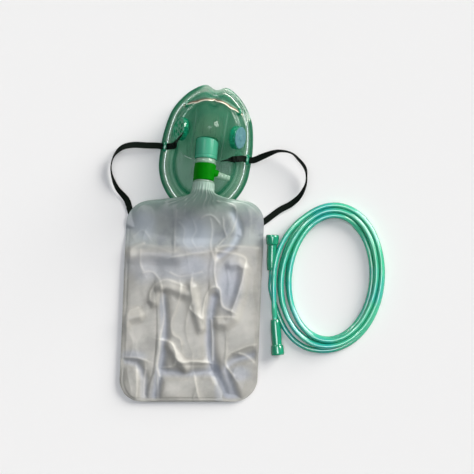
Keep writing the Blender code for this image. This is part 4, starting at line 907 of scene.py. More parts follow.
def mask_grid():
    """Square grid of vertices whose rings follow the outline inwards."""
    lengths = [0.0]
    for a, b in zip(OUTLINE, OUTLINE[1:] + OUTLINE[:1]):
        lengths.append(lengths[-1] + (b - a).length)
    total = lengths[-1]
    rings = RIM_RINGS + INNER_RINGS
    bm = bmesh.new()
    verts = {(0, 0): bm.verts.new((0, 0, mask_height(0, 1e-5)))}
    record = [(0.0, 0.0, MASK_WIDTH / 2)]
    for ring in range(1, rings + 1):
        places = ring_places(ring)
        i = 0
        for k, place in enumerate(places):
            target = total * k / len(places)
            while lengths[i + 1] < target:
                i += 1
            share = (target - lengths[i]) / (lengths[i + 1] - lengths[i])
            edge = OUTLINE[i].lerp(OUTLINE[(i + 1) % len(OUTLINE)], share)
            if ring >= INNER_RINGS:
                point = edge * (1 - RIM_DEPTH * (rings - ring) / RIM_RINGS / edge.length)
            else:
                point = edge * (1 - RIM_DEPTH / edge.length) * (ring / INNER_RINGS)
            z = mask_height(point.x, point.y) + nose_steps(point.x, point.y)
            verts[place] = bm.verts.new((point.x, point.y, z))
            record.append((point.x, point.y, outline_radius(point.x, point.y) - point.length))
    for i in range(-rings, rings):
        for j in range(-rings, rings):
            bm.faces.new((verts[i, j], verts[i + 1, j], verts[i + 1, j + 1], verts[i, j + 1]))
    add_layers(bm, ("u", "v", "inset"), record)
    return bm


def axis_frame():
    """Frame at the port's mouth: Z along the connector towards the bag, X to the right, Y up."""
    along = Vector((-math.sin(AXIS_YAW) * math.cos(AXIS_RISE), -math.cos(AXIS_YAW) * math.cos(AXIS_RISE),
                    math.sin(AXIS_RISE)))
    return frame_from(MASK_FRAME @ PORT_MOUTH, along, Vector((0, 0, 1)))


AXIS = axis_frame()


def seat_frame(side):
    """Frame on a cheek's valve seat, Z out of the cheek, and its origin on the seat's face."""
    u, v = side * SEAT_PLACE[0], SEAT_PLACE[1]
    lean = Matrix.Rotation(side * SEAT_LEAN, 3, "Y")
    normal = MASK_FRAME.to_3x3() @ lean @ mask_normal(u, v, SEAT_RADIUS * 0.7)
    return frame_from(on_mask(u, v) + normal * SEAT_PROUD, normal, Vector((0, 1, 0)))


def staple(bm, place, span, height, bar, length):
    """A moulded loop: two posts and a bar, with its foot sunk in the surface and its edges rounded."""
    sink = MASK_WALL * 0.6
    middle = span / 2 + bar / 2
    reach = height + bar / 2
    corner = bar * 0.9
    path = [Vector((0, -middle, -sink)), Vector((0, -middle, reach - corner))]
    path += [Vector((0, -middle + corner * (1 - math.cos(a)), reach - corner + corner * math.sin(a)))
             for a in (0.4, 0.8, 1.2)]
    path += [Vector((0, -p.y, p.z)) for p in reversed(path)]
    rings = []
    for k, point in enumerate(path):
        along = (path[min(k + 1, len(path) - 1)] - path[max(k - 1, 0)]).normalized()
        side = Vector((1, 0, 0))
        face = side.cross(along)
        ring = []
        for n in range(12):
            out, up = soft_square(math.tau * n / 12, STAPLE_ROUNDNESS)
            ring.append(place @ (point + side * (out * length / 2) + face * (up * bar / 2)))
        rings.append(ring)
    add_loft(bm, rings)


def eyelet_u(side):
    return side * (curve_value(WIDTH_TABLE, EYELET_V) - EYELET_INSET)


def seat_mouldings():
    """The valve seats, with the loops for the strap and the nose clip, all sunk into the shell."""
    bm = bmesh.new()
    for side in (-1, 1):
        lathe(bm, rounded(((0, -SEAT_SINK - SEAT_PROUD), (SEAT_RADIUS, -SEAT_SINK - SEAT_PROUD), (SEAT_RADIUS, 0),
                           (0, 0)), SEAT_EDGE), seat_frame(side), 64)
        u = eyelet_u(side)
        foot = MASK_FRAME @ Matrix.Translation((u, EYELET_V, mask_height(u, EYELET_V)))
        clear_height = STRAP_AT_EYELET + STRAP_THICKNESS / 2 + EYELET_GAP - mask_height(u, EYELET_V)
        staple(bm, foot, STRAP_WIDTH + 2 * EYELET_GAP, clear_height, EYELET_BAR, EYELET_LENGTH)
        holder = clip_frame(side * CLIP_LOOP_SHARE)
        staple(bm, holder, CLIP_WIDTH + 2 * CLIP_LOOP_GAP, clip_seat(holder) + CLIP_THICKNESS + CLIP_LOOP_GAP,
               CLIP_LOOP_BAR, CLIP_LOOP_LENGTH)
    return bm


def mask_cuts():
    """The bore of the port, and the recess, holes and stem hole of each valve seat."""
    bm = bmesh.new()
    port_end = -PORT_DEPTH - 0.004
    lathe(bm, ((0, port_end), (PORT_BORE, port_end), (PORT_BORE, 0.002), (0, 0.002)), AXIS)
    deep = -SEAT_SINK - SEAT_PROUD - 0.002
    recess = SEAT_RADIUS - SEAT_RIM
    for side in (-1, 1):
        seat = seat_frame(side)
        lathe(bm, ((0, -SEAT_RECESS), (recess, -SEAT_RECESS), (recess, 0.001), (0, 0.001)), seat, 64)
        for k in range(SEAT_HOLES):
            turn = Matrix.Rotation(math.tau * (k + 0.5) / SEAT_HOLES, 4, "Z")
            place = seat @ turn @ Matrix.Translation((SEAT_HOLE_CIRCLE, 0, 0))
            lathe(bm, ((0, deep), (SEAT_HOLE_RADIUS, deep), (SEAT_HOLE_RADIUS, 0.0005), (0, 0.0005)), place, 20)
        lathe(bm, ((0, deep), (SEAT_PIN_RADIUS, deep), (SEAT_PIN_RADIUS, 0.0005), (0, 0.0005)), seat, 16)
    return bm


def make_mask():
    shell = link_mesh("mask_shell_fine", mask_grid(), shell_material(), sharp=math.radians(60))
    shell.data.transform(MASK_FRAME)
    solidify = shell.modifiers.new("wall", "SOLIDIFY")
    solidify.thickness = MASK_WALL
    solidify.offset = -1
    solidify.use_even_offset = True

    port_vinyl = moulding_material("port_vinyl", (0.66, 0.90, 0.81, 1), rgb(98, 200, 168), 0.50)
    port = ((0, -PORT_DEPTH), (PORT_OUTER - PORT_ROUND, -PORT_DEPTH),
            (PORT_OUTER - PORT_ROUND * 0.3, -PORT_DEPTH + PORT_ROUND * 0.3), (PORT_OUTER, -PORT_DEPTH + PORT_ROUND),
            (PORT_OUTER, -PORT_RING - PORT_GROOVE_HALF), (PORT_OUTER - PORT_GROOVE_DEPTH, -PORT_RING),
            (PORT_OUTER, -PORT_RING + PORT_GROOVE_HALF), (PORT_OUTER, 0), (0, 0))
    add_boolean(shell, turned("port_moulding", port_vinyl, port, AXIS, PORT_EDGE), "UNION", use_self=True)
    seat_vinyl = moulding_material("seat_vinyl", (0.30, 0.86, 0.70, 1), rgb(20, 176, 132), 0.46, 0.09, 0.10)
    add_boolean(shell, link_mesh("seat_mouldings", seat_mouldings(), seat_vinyl), "UNION", use_self=True)
    add_boolean(shell, link_mesh("mask_cuts", mask_cuts(), seat_vinyl), "DIFFERENCE", use_self=True)
    apply_modifiers(shell, sharp=math.radians(50))
    dress(shell, "mask_shell")


def make_exhalation_flap(rubber):
    """Thin disc with a stem that is pulled through the middle hole of the right seat."""
    seat = CLEARANCE
    face = seat + FLAP_THICKNESS
    stem = SEAT_PIN_RADIUS - CLEARANCE
    inside = -SEAT_SINK - SEAT_PROUD - CLEARANCE
    profile = ((0, inside - 0.0018), (stem * 1.2, inside - 0.0014), (SEAT_PIN_RADIUS * 1.35, inside), (stem, inside),
               (stem, seat), (FLAP_RADIUS, seat), (FLAP_RADIUS, seat + FLAP_THICKNESS * 0.6),
               (FLAP_RADIUS * 0.94, face), (FLAP_RADIUS * 0.3, face), (FLAP_RADIUS * 0.2, face + FLAP_CROWN),
               (0, face + FLAP_CROWN))
    flap = turned("exhalation_flap_fine", rubber, profile, seat_frame(1), 0.0002, 72)
    dress(flap, "exhalation_flap")


# Nose clip


def clip_path(share):
    """Place of the clip's middle line in the mask's axes, for a share of its half span from -1 to 1."""
    return share * CLIP_HALF_SPAN, CLIP_CENTRE_V - CLIP_DROP * abs(share) ** 1.6


def clip_side(share):
    """Unit direction across the strip, in the mask's axes and in plan."""
    step = 0.02
    ahead = Vector(clip_path(min(share + step, 1.0)))
    behind = Vector(clip_path(max(share - step, -1.0)))
    along = (ahead - behind).normalized()
    return Vector((-along.y, along.x))


def clip_frame(share):
    """Frame on the mask under the clip: X along the strip, Y across it, Z out of the mask."""
    u, v = clip_path(share)
    side = clip_side(share)
    normal = mask_normal(u, v, CLIP_WIDTH * 0.4)
    across = (Vector((side.x, side.y, 0)) - normal * normal.dot(Vector((side.x, side.y, 0)))).normalized()
    along = across.cross(normal)
    rotation = Matrix((along, across, normal)).transposed().to_4x4()
    return MASK_FRAME @ Matrix.Translation((u, v, mask_height(u, v))) @ rotation


def clip_seat(place):
    """Height over a place on the mask at which the strip clears its surface all across."""
    inverse = place.inverted()
    highest = 0.0
    for k in range(-3, 4):
        local = MASK_INVERSE @ (place @ Vector((0, k / 3 * CLIP_WIDTH * 0.55, 0)))
        highest = max(highest, (inverse @ on_mask(local.x, local.y)).z)
    return highest + CLIP_SEAT


def clip_material():
    """Thin strip with a painted highlight along one edge, and the brown and green of the mask painted beyond it as a
    reflection.
    """
    shader = Shader("clip_metal")
    across = shader.attribute("across")
    # Painted highlight along one edge, and the mask's brown and green as a painted reflection beyond it
    cream_highlight = shader.colour_mix(shader.grain(shader.position(), 500.0, 3.0), *CLIP_CREAM_HIGHLIGHT)
    mirror = shader.colour_mix(shader.spread(across, -0.10, 0.20), *CLIP_MIRROR)
    tone = shader.colour_mix(shader.spread(across, -0.60, -0.38), cream_highlight, mirror)
    inputs = {"Base Color": tone, "Roughness": 0.5, "Metallic": 0.2, "Specular IOR Level": 0.2}
    return shader.finish(shader.add("BsdfPrincipled", inputs).outputs[0])


def make_nose_clip(metal):
    rings, across = [], []
    for k in range(CLIP_STEPS + 1):
        share = -1 + 2 * k / CLIP_STEPS
        place = clip_frame(share)
        narrow = 1 - CLIP_END_NARROWS * smoothstep((abs(share) - CLIP_END) / (1 - CLIP_END)) ** 2
        half = CLIP_WIDTH / 2 * narrow
        low = clip_seat(place)
        high = low + CLIP_THICKNESS
        edge = CLIP_THICKNESS * 0.3
        outline = ((-half + edge, low), (half - edge, low), (half, low + edge), (half, high - edge),
                   (half - edge, high), (-half + edge, high), (-half, high - edge), (-half, low + edge))
        rings.append([place @ Vector((0, y, z)) for y, z in outline])
        across += [(y / half,) for y, z in outline]
    bm = bmesh.new()
    add_loft(bm, rings)
    add_layers(bm, ("across",), across)
    dress(link_mesh("nose_clip_fine", bm, metal), "nose_clip")


# Connector


FLANGE_END = CLEARANCE + FLANGE_LENGTH
COLLAR_START = FLANGE_END + CLEARANCE
COLLAR_END = COLLAR_START + COLLAR_LENGTH
LIP_START = COLLAR_END + CLEARANCE
LIP_END = LIP_START + LIP_LENGTH
BODY_END = LIP_END + SPIGOT_OUT
BARB_AXIS_STATION = COLLAR_START + BARB_STATION


def barb_frame():
    """Frame on the connector's axis with Z along the barb."""
    outward = Vector((math.cos(BARB_LEAN), 0, math.sin(BARB_LEAN)))
    return AXIS @ frame_from(Vector((0, 0, BARB_AXIS_STATION)), outward, Vector((0, 1, 0)))


def make_connector_body(clear):
    """Tube with its two spigots, flange and lip, the spider and pin of the inner valve, and the oxygen barb."""
    spigot = PORT_BORE - SPIGOT_WALL_GAP
    chamfer = 0.0008
    profile = ((TUBE_BORE, 0), (TUBE_BORE, -SPIGOT_IN), (spigot - chamfer, -SPIGOT_IN),
               (spigot, -SPIGOT_IN + 2 * chamfer), (spigot, CLEARANCE), (FLANGE_RADIUS, CLEARANCE),
               (FLANGE_RADIUS, FLANGE_END - chamfer / 2), (FLANGE_RADIUS - chamfer / 2, FLANGE_END),
               (SLEEVE_RADIUS, FLANGE_END), (SLEEVE_RADIUS, LIP_START), (LIP_RADIUS - chamfer / 2, LIP_START),
               (LIP_RADIUS, LIP_START + chamfer / 2), (LIP_RADIUS, LIP_END), (SPIGOT_OUT_RADIUS, LIP_END),
               (SPIGOT_OUT_RADIUS, BODY_END - chamfer), (SPIGOT_OUT_RADIUS - chamfer, BODY_END),
               (TUBE_BORE, BODY_END), (TUBE_BORE, BODY_END / 2))
    body = turned("connector_body_fine", clear, profile, AXIS, 0.0003)

    reach, half = TUBE_BORE + 0.0004, SPIDER_BAR / 2
    arm = [Vector((reach, -half)), Vector((reach, half)), Vector((half, half))]
    outline = [Matrix.Rotation(math.pi / 2 * turn, 2) @ point for turn in range(4) for point in arm]
    cross = bmesh.new()
    add_loft(cross, [[AXIS @ Vector((x, y, z)) for x, y in outline]
                     for z in (-SPIGOT_IN + half, -SPIGOT_IN + SPIDER_BAR + half)])
    add_boolean(body, link_mesh("spider_cross", cross, clear), "UNION")

    flap_top = -SPIGOT_IN - INLET_FLAP_THICKNESS - 2 * CLEARANCE
    pin = ((0, flap_top - 0.0010), (SPIDER_HEAD * 0.7, flap_top - 0.0010), (SPIDER_HEAD, flap_top - 0.0004),
           (SPIDER_HEAD, flap_top), (SPIDER_PIN, flap_top), (SPIDER_PIN, -SPIGOT_IN + SPIDER_BAR),
           (0, -SPIGOT_IN + SPIDER_BAR))
    add_boolean(body, turned("spider_pin", clear, pin, AXIS, steps=32), "UNION")

    root = SLEEVE_RADIUS - 0.0009
    barb = [(0, root), (BARB_ROOT, root), (BARB_ROOT, BARB_REACH * 0.60)]
    for k in range(3):
        start = BARB_REACH * (0.62 + 0.12 * k)
        radius = BARB_ROOT + (BARB_TIP - BARB_ROOT) * (k + 1) / 3
        barb += [(radius, start), (radius + BARB_RIDGE, start + BARB_REACH * 0.015),
                 (radius, start + BARB_REACH * 0.10)]
    barb += [(BARB_TIP - BARB_RIDGE, BARB_REACH), (0, BARB_REACH)]
    add_boolean(body, turned("barb_stem", clear, barb, barb_frame(), 0.0002, 48), "UNION")

    inner = TUBE_BORE - 0.0015
    outer = BARB_REACH + 0.001
    bore = ((0, inner), (BARB_BORE, inner), (BARB_BORE, outer), (0, outer))
    add_boolean(body, turned("barb_bore", clear, bore, barb_frame(), steps=24), "DIFFERENCE")
    apply_modifiers(body)
    dress(body, "connector_body")


def make_inlet_flap(rubber):
    """Disc that lies on the connector's inner end and opens towards the mask."""
    top = -SPIGOT_IN - CLEARANCE
    hole = SPIDER_PIN + CLEARANCE
    profile = ((hole, top - INLET_FLAP_THICKNESS), (INLET_FLAP_RADIUS, top - INLET_FLAP_THICKNESS),
               (INLET_FLAP_RADIUS, top), (hole, top))
    flap = turned("inhalation_flap_fine", rubber, profile, AXIS, 0.00015, 72)
    dress(flap, "inhalation_flap")


def make_collar(green):
    """Coloured band snapped round the connector, with a boss that the barb comes out of."""
    bore = SLEEVE_RADIUS + CLEARANCE
    edge = 0.0005
    band = ((bore, COLLAR_START + edge), (bore, COLLAR_START), (COLLAR_RADIUS - edge, COLLAR_START),
            (COLLAR_RADIUS, COLLAR_START + edge), (COLLAR_RADIUS, COLLAR_END - edge),
            (COLLAR_RADIUS - edge, COLLAR_END), (bore, COLLAR_END), (bore, COLLAR_END - edge))
    collar = turned("connector_collar_fine", green, band, AXIS, 0.0003)

    cone = ((0, SLEEVE_RADIUS / 2), (BOSS_ROOT, SLEEVE_RADIUS / 2), (BOSS_TIP, BOSS_REACH - edge),
            (BOSS_TIP - edge, BOSS_REACH), (0, BOSS_REACH))
    boss = turned("collar_boss", green, cone, barb_frame(), 0.0003, 64)
    middle = (bore + COLLAR_RADIUS) / 2
    trim = ((0, COLLAR_START - bore), (middle, COLLAR_START - bore), (middle, COLLAR_END + bore),
            (0, COLLAR_END + bore))
    half_step = Matrix.Rotation(math.pi / ROUND_STEPS, 4, "Z")
    add_boolean(boss, turned("collar_boss_trim", green, trim, AXIS @ half_step), "DIFFERENCE")
    apply_modifiers(boss)
    add_boolean(collar, boss, "UNION")

    room = BARB_ROOT + CLEARANCE
    reach = COLLAR_END - BARB_AXIS_STATION + 2 * room
    arc = [math.pi * (k / 20 - 0.5) for k in range(21)]
    outline = [(room * math.cos(angle), room * math.sin(angle)) for angle in arc] + [(-reach, room), (-reach, -room)]
    place = barb_frame()
    slot = bmesh.new()
    add_loft(slot, [[place @ Vector((x, y, z)) for x, y in outline]
                    for z in (SLEEVE_RADIUS / 2, BOSS_REACH + room)])
    add_boolean(collar, link_mesh("collar_barb_slot", slot, green), "DIFFERENCE")
    apply_modifiers(collar)
    dress(collar, "connector_collar")


# Reservoir bag


NECK_RADIUS = SPIGOT_OUT_RADIUS + NECK_GAP + NECK_FILM
NECK_START = LIP_END + CLEARANCE
NECK_END = BODY_END + CLEARANCE


def bag_frame():
    """Axes of the bag from the middle of its top edge, which stays along X while the sides lean."""
    neck = AXIS @ Vector((0, 0, NECK_END))
    lean = Matrix(((1, -math.sin(BAG_LEAN), 0, 0), (0, math.cos(BAG_LEAN), 0, 0), (0, 0, 1, 0), (0, 0, 0, 1)))
    return Matrix.Translation((neck.x + BAG_FROM_NECK.x, neck.y + BAG_FROM_NECK.y, 0)) @ lean


BAG_FRAME = bag_frame()
NECK_ACROSS = (BAG_FRAME.inverted() @ AXIS @ Vector((0, 0, NECK_END))).x
FOLDS_FRAME = Matrix.Translation(BAG_FRAME @ FOLDS_START.to_3d()) @ Matrix.Rotation(BAG_LEAN, 4, "Z")
FOLDS_INVERSE = FOLDS_FRAME.inverted()


def strap_under_bag():
    """Middle line of the strap where it runs under the bag."""
    height = STRAP_THICKNESS / 2 + CLEARANCE
    return [BAG_FRAME @ Vector((across, along, height)) for across, along in UNDER_BAG]


def strap_end(end):
    """Middle line of one loose end, from its eyelet inwards, with the ribbon's turn."""
    return [(MASK_FRAME @ Vector((u, v, mask_height(u, v) + proud)), turn) for u, v, proud, turn in end]


def strap_route():
    """Middle line of the whole strap from the left end to the right end, with the ribbon's turn."""
    route = strap_end(LEFT_END)[::-1]
    for side, loop in ((-1, LEFT_LOOP), (1, RIGHT_LOOP)):
        eyelet = MASK_FRAME @ Vector((eyelet_u(side), EYELET_V, STRAP_AT_EYELET))
        points = [(eyelet, 0)]
        for out, along, height, turn in loop:
            points.append((Vector((eyelet.x + side * out, eyelet.y + along, height)), turn))
        if side < 0:
            route += points + [(point, 0) for point in strap_under_bag()]
        else:
            route += reversed(points)
    return route + strap_end(RIGHT_END)


STRAP_LOW_LINE = spline([p for p, turn in strap_route() if p.z < 0.004], 6)
MASK_REACH = MASK_LENGTH / 2 + 0.022


def film_lift(x, y):
    """Height that the bag's underside keeps over the mask's chin and over the strap."""
    lift = 0.0
    if math.hypot(x - MASK_CENTRE.x, y - MASK_CENTRE.y) < MASK_REACH:
        for reach, directions in LIFT_PROBES:
            for k in range(directions):
                angle = math.tau * k / directions
                local = MASK_INVERSE @ Vector((x + reach * math.cos(angle), y + reach * math.sin(angle), 0))
                if math.hypot(local.x, local.y) < outline_radius(local.x, local.y):
                    slope = LIFT_SLOPE * max(0.0, reach - LIFT_FLAT)
                    lift = max(lift, mask_height(local.x, local.y) + FILM_OVER_MASK - slope)
    over_strap = STRAP_THICKNESS + CLEARANCE + STRAP_RELIEF
    near = min(math.hypot(p.x - x, p.y - y) for p in STRAP_LOW_LINE)
    return max(lift, over_strap * (1 - smoothstep((near - STRAP_LIFT_FLAT) / STRAP_LIFT_FALL)))


class FoldLine:
    """One fold: a polyline on the bag with a height and a half width."""

    def __init__(self, height, width, points, steps):
        self.height = height
        self.width = width
        self.line = spline([Vector((x * MM, y * MM)) for x, y in points], steps)
        reach = width * CREASE_REACH
        self.low = (min(p.x for p in self.line) - reach, min(p.y for p in self.line) - reach)
        self.high = (max(p.x for p in self.line) + reach, max(p.y for p in self.line) + reach)

    def distance(self, x, y):
        """Distance to the line in half widths, less than zero on its left side, or None when it is out of reach."""
        if not (self.low[0] < x < self.high[0] and self.low[1] < y < self.high[1]):
            return None
        nearest, side = 1.0, 1.0
        for a, b in zip(self.line, self.line[1:]):
            ex, ey = b.x - a.x, b.y - a.y
            share = ((x - a.x) * ex + (y - a.y) * ey) / (ex * ex + ey * ey)
            share = min(1.0, max(0.0, share))
            away = math.hypot(x - a.x - share * ex, y - a.y - share * ey)
            if away < nearest:
                nearest = away
                side = math.copysign(1.0, ex * (y - a.y) - ey * (x - a.x))
        return side * nearest / self.width


BROAD_FOLDS = [FoldLine(height, width, points, 2) for height, width, points in FOLDS]
SHARP_FOLDS = [FoldLine(height, width, points, 4) for height, width, points in CREASES]


def film_noise(across, down, grain):
    return noise.noise(Vector((across * grain[0], down * grain[1], grain[2])))


def fold_height(across, down):
    """Broad folds of the film, at a place in the folds' own axes."""
    total = 0.0
    for fold in BROAD_FOLDS:
        distance = fold.distance(across, down)
        if distance is not None:
            total += fold.height * math.exp(-distance * distance)
    return total


def crease_height(across, down):
    """Sharp creases with a steep and a gentle side, waves and wrinkles between them, and how near a crest is, as the
    share of a painted highlight in patches along it.
    """
    total, crest_highlight = 0.0, 0.0
    for fold in SHARP_FOLDS:
        distance = fold.distance(across, down)
        if distance is not None:
            if fold.height > 0:
                near = math.exp(-(distance / CREST_HIGHLIGHT_BREADTH) ** 2)
                crest_highlight = max(crest_highlight, min(1.0, fold.height / 0.0016) * near)
            fall = CREASE_STEEP if distance < 0 else CREASE_GENTLE
            crest = math.exp(-fall * abs(distance)) - math.exp(-fall * CREASE_REACH)
            total += CREASE_SHARE * fold.height * max(0.0, crest)
    waves = film_noise(across, down, WAVE_GRAIN) * WAVE_HEIGHT
    wrinkle = 1 - abs(film_noise(across, down, WRINKLE_GRAIN)) * WRINKLE_WIDTH
    waves += max(0.0, wrinkle) ** 3 * WRINKLE_HEIGHT * (0.5 + film_noise(across, down, PATCH_GRAIN))
    patches = smoothstep(0.5 + noise.noise(Vector((across, down, 0)) * CREST_HIGHLIGHT_GRAIN))
    return total + waves, crest_highlight * (0.45 + 0.55 * patches)


def pane_share(panes, across, down):
    """How much of a tone the panes give the film at a place."""
    share = 0.0
    for x, y, half_across, half_down, strength in panes:
        reach = ((across - x) / half_across) ** 2 + ((down - y) / half_down) ** 2
        share = max(share, strength * math.exp(-reach * reach))
    return share


def bag_rows():
    """All rows from the neck to the foot, each with the six values of the rows by the neck."""
    rows = list(FLARE)
    for k, (down, height, half, side_height) in enumerate(SHOULDER):
        angle = math.pi / 2 * (1 - (k + 0.4) / (len(SHOULDER) - 0.6))
        rows.append((down, height, half, BAG_CORNER * (1 - math.sin(angle)),
                     BAG_HALF_WIDTH - BAG_CORNER * (1 - math.cos(angle)), side_height))
    first = SHOULDER[-1][0]
    last = BAG_LENGTH - BAG_CORNER
    for k in range(1, BAG_ROWS + 1):
        down = first + (last - first) * k / BAG_ROWS
        side = BAG_CORNER + (last - BAG_CORNER) * k / BAG_ROWS
        rise = BAG_EDGE_LIFT * smoothstep(k / EDGE_LIFT_ROWS)
        rows.append((down, BAG_FULLNESS, BAG_FULLNESS, side, BAG_HALF_WIDTH, rise + BAG_SEAM / 2))
    straight = len(rows)
    rows = [tuple(row) for row in spline([Vector(row) for row in rows], ROW_STEPS)]
    fine = []
    for k in range(1, CORNER_ROWS * ROW_STEPS + 1):
        angle = math.pi / 2 * k / (CORNER_ROWS * ROW_STEPS)
        side = last + BAG_CORNER * math.sin(angle)
        half = BAG_FULLNESS * math.cos(angle) + BAG_SEAM / 2 * math.sin(angle)
        out = BAG_HALF_WIDTH - BAG_CORNER * (1 - math.cos(angle))
        edge = BAG_EDGE_LIFT + BAG_SEAM / 2
        fine.append((side, BAG_FULLNESS + (edge - BAG_FULLNESS) * math.sin(angle), half, side, out, edge))
    return rows + fine


def pleat_height(even, down):
    """Gathers of the film that fan out from the neck, uneven in their spacing."""
    sway = 0.8 * film_noise(even, down, PLEAT_GRAIN)
    return NECK_PLEAT_HEIGHT * math.cos(NECK_PLEATS * math.pi * even + sway * math.pi)


def bag_ring(row, record):
    """One closed ring of the bag, over the top from left to right and back underneath.

    The record takes each vertex's relief, place down the bag, share of painted blue-grey reflection and share of
    painted highlight.
    """
    down, height, half, side_down, out, side_height = row
    flat = smoothstep((out - NECK_RADIUS) / FLARE_REACH)
    neck = 1 - smoothstep((down - NECK_FADE_START) / NECK_FADE_LENGTH)
    top, bottom = [], []
    for k in range(BAG_COLUMNS + 1):
        even = -1 + 2 * k / BAG_COLUMNS
        share = math.sin(math.pi / 2 * even) * (1 - flat) + even * flat
        place_down = down + (side_down - down) * share * share
        drift = NECK_ACROSS * (1 - smoothstep((out - NECK_RADIUS) / NECK_SHIFT_REACH))
        across = out * share + drift
        world = BAG_FRAME @ Vector((across, -place_down, 0))
        middle = height + (side_height - height) * abs(share) ** EDGE_FALL
        swell = half * math.sqrt(max(0.0, 1 - share * share))
        lift = film_lift(world.x, world.y)
        low = max(middle - swell, lift)
        inwards = (1 - abs(share)) * out
        foot = max(0.0, BAG_LENGTH - place_down)
        if down > SHOULDER[-1][0] and lift < 1e-6:
            low = (side_height - BAG_SEAM / 2) * (1 - smoothstep(min(inwards, foot) / EDGE_LIFT_REACH))
        room = smoothstep(inwards / SEAM_FADE) * smoothstep(foot / SEAM_FADE)
        local = FOLDS_INVERSE @ world
        creases, crest = crease_height(local.x, -local.y)
        creases *= room * (1 - NECK_CALM * neck)
        pleats = pleat_height(even, down) * neck
        broad = fold_height(local.x, -local.y) * room
        folds = broad + creases + pleats * room
        weld = WELD_DEPTH * math.exp(-((min(inwards, foot) - WELD_PLACE) / WELD_HALF) ** 2) * (1 - neck)
        high = max(middle + swell + folds - weld, low + BAG_SEAM)
        high = min(high, BAG_TOP_LIMIT)
        top.append(Vector((world.x, world.y, high)))
        bottom.append(Vector((world.x, world.y, low)))
        # Share of painted blue-grey reflection: in the valleys of the broad folds and in its panes
        blue = max(smoothstep(-broad / VALLEY_DEPTH), pane_share(COOL_REFLECTION_PANES, local.x, -local.y))
        # Share of painted highlight: along crease crests and in the pale panes
        painted_highlight = max(crest, pane_share(HIGHLIGHT_PANES, local.x, -local.y)) * room
        record.append((folds - weld * 2, place_down, blue, painted_highlight))
    record += record[-(BAG_COLUMNS + 1):][::-1]
    return top + bottom[::-1]


def make_bag(film):
    count = 2 * BAG_COLUMNS + 2
    rings, record = [], []
    stations = [NECK_START + (NECK_END - NECK_START) * k / 6 for k in range(7)]
    for station in stations:
        ring = []
        for k in range(count):
            even = -1 + 2 * (k if k <= BAG_COLUMNS else count - 1 - k) / BAG_COLUMNS
            angle = math.pi / 2 * even * 0.985
            side = 1 if k <= BAG_COLUMNS else -1
            fade = (station - NECK_START) / (NECK_END - NECK_START)
            pleat = pleat_height(even, FLARE[0][0]) * fade if side > 0 else 0.0
            radius = NECK_RADIUS + pleat
            ring.append(AXIS @ Vector((radius * math.sin(angle), side * radius * math.cos(angle), station)))
            record.append((pleat, -0.014, 0.0, 0.0))
        rings.append(ring)
    for row in bag_rows():
        rings.append(bag_ring(row, record))
    bm = bmesh.new()
    add_loft(bm, rings)
    add_layers(bm, FILM_LAYERS, record)
    bag = link_mesh("reservoir_bag_film", bm, film, sharp=math.radians(70))

    bore = SPIGOT_OUT_RADIUS + NECK_GAP
    socket = ((0, NECK_START - 0.001), (bore, NECK_START - 0.001), (bore, NECK_END), (0, NECK_END))
    add_boolean(bag, turned("neck_socket", film, socket, AXIS), "DIFFERENCE")
    apply_modifiers(bag, sharp=math.radians(70))
    dress(bag, "reservoir_bag")


# Head strap


def ribbon_section():
    """Section of the elastic: low ribs on both faces and round edges, as shares of its half width and thickness."""
    top = []
    for k in range(STRAP_RIBS * 4 + 1):
        x = -STRAP_FLAT + 2 * STRAP_FLAT * k / (STRAP_RIBS * 4)
        rib = 0.5 + 0.5 * math.cos(math.tau * STRAP_RIBS * (x + STRAP_FLAT) / (2 * STRAP_FLAT) + math.pi)
        top.append((x, 1 - (1 - rib) * STRAP_RIB_HEIGHT / (STRAP_THICKNESS / 2)))
    return top + [(1.0, 0.0)] + [(x, -y) for x, y in reversed(top)] + [(-1.0, 0.0)]


def strap_rings():
    route = strap_route()
    line = spline([point for point, turn in route], STRAP_STEPS)
    turns = spline([Vector((turn, 0)) for point, turn in route], STRAP_STEPS)
    section = ribbon_section()
    rings, runs = [], []
    run = 0.0
    count = len(line)
    for k, point in enumerate(line):
        if k:
            run += (point - line[k - 1]).length
        along = (line[min(k + 1, count - 1)] - line[max(k - 1, 0)]).normalized()
        across = Vector((0, 0, 1)).cross(along).normalized()
        up = along.cross(across)
        turn = math.radians(turns[k].x)
        side = across * math.cos(turn) + up * math.sin(turn)
        face = up * math.cos(turn) - across * math.sin(turn)
        end = min(k, count - 1 - k) / STRAP_STEPS
        taper = STRAP_TIP + (1 - STRAP_TIP) * smoothstep(end / STRAP_TIP_RUN)
        rings.append([point + side * (a * taper * STRAP_WIDTH / 2) + face * (b * STRAP_THICKNESS / 2)
                      for a, b in section])
        runs += [(run,)] * len(section)
    return rings, runs


def knot_loops(bm, place):
    """Turns of the ribbon round itself, each tilted the other way."""
    width, thickness = KNOT_BAND
    for shift, tilt, half_across, half_up in KNOT_TURNS:
        turn = place @ Matrix.Translation((0, 0, shift)) @ Matrix.Rotation(math.radians(tilt), 4, "X")
        turn = turn @ Matrix.Rotation(math.radians(tilt * 0.6), 4, "Y")
        rings = []
        for k in range(40):
            angle = math.tau * k / 40
            out = Vector((math.cos(angle), math.sin(angle), 0))
            centre = Vector((half_across * math.cos(angle), half_up * math.sin(angle), 0))
            ring = []
            for n in range(14):
                wide, thick = soft_square(math.tau * n / 14, KNOT_ROUNDNESS)
                ring.append(turn @ (centre + out * (thick * thickness / 2) + Vector((0, 0, wide * width / 2))))
            rings.append(ring)
        add_loft(bm, rings, looped=True)


def knot_frame(end, knot):
    """Frame at the point of a loose end that lies nearest to its knot, with Z along the strap."""
    points = [point for point, turn in strap_end(end)]
    inner = range(1, len(end) - 1)
    k = min(inner, key=lambda n: math.dist(end[n][:2], knot))
    return frame_from(points[k], points[k + 1] - points[k - 1], Vector((0, 0, 1)))


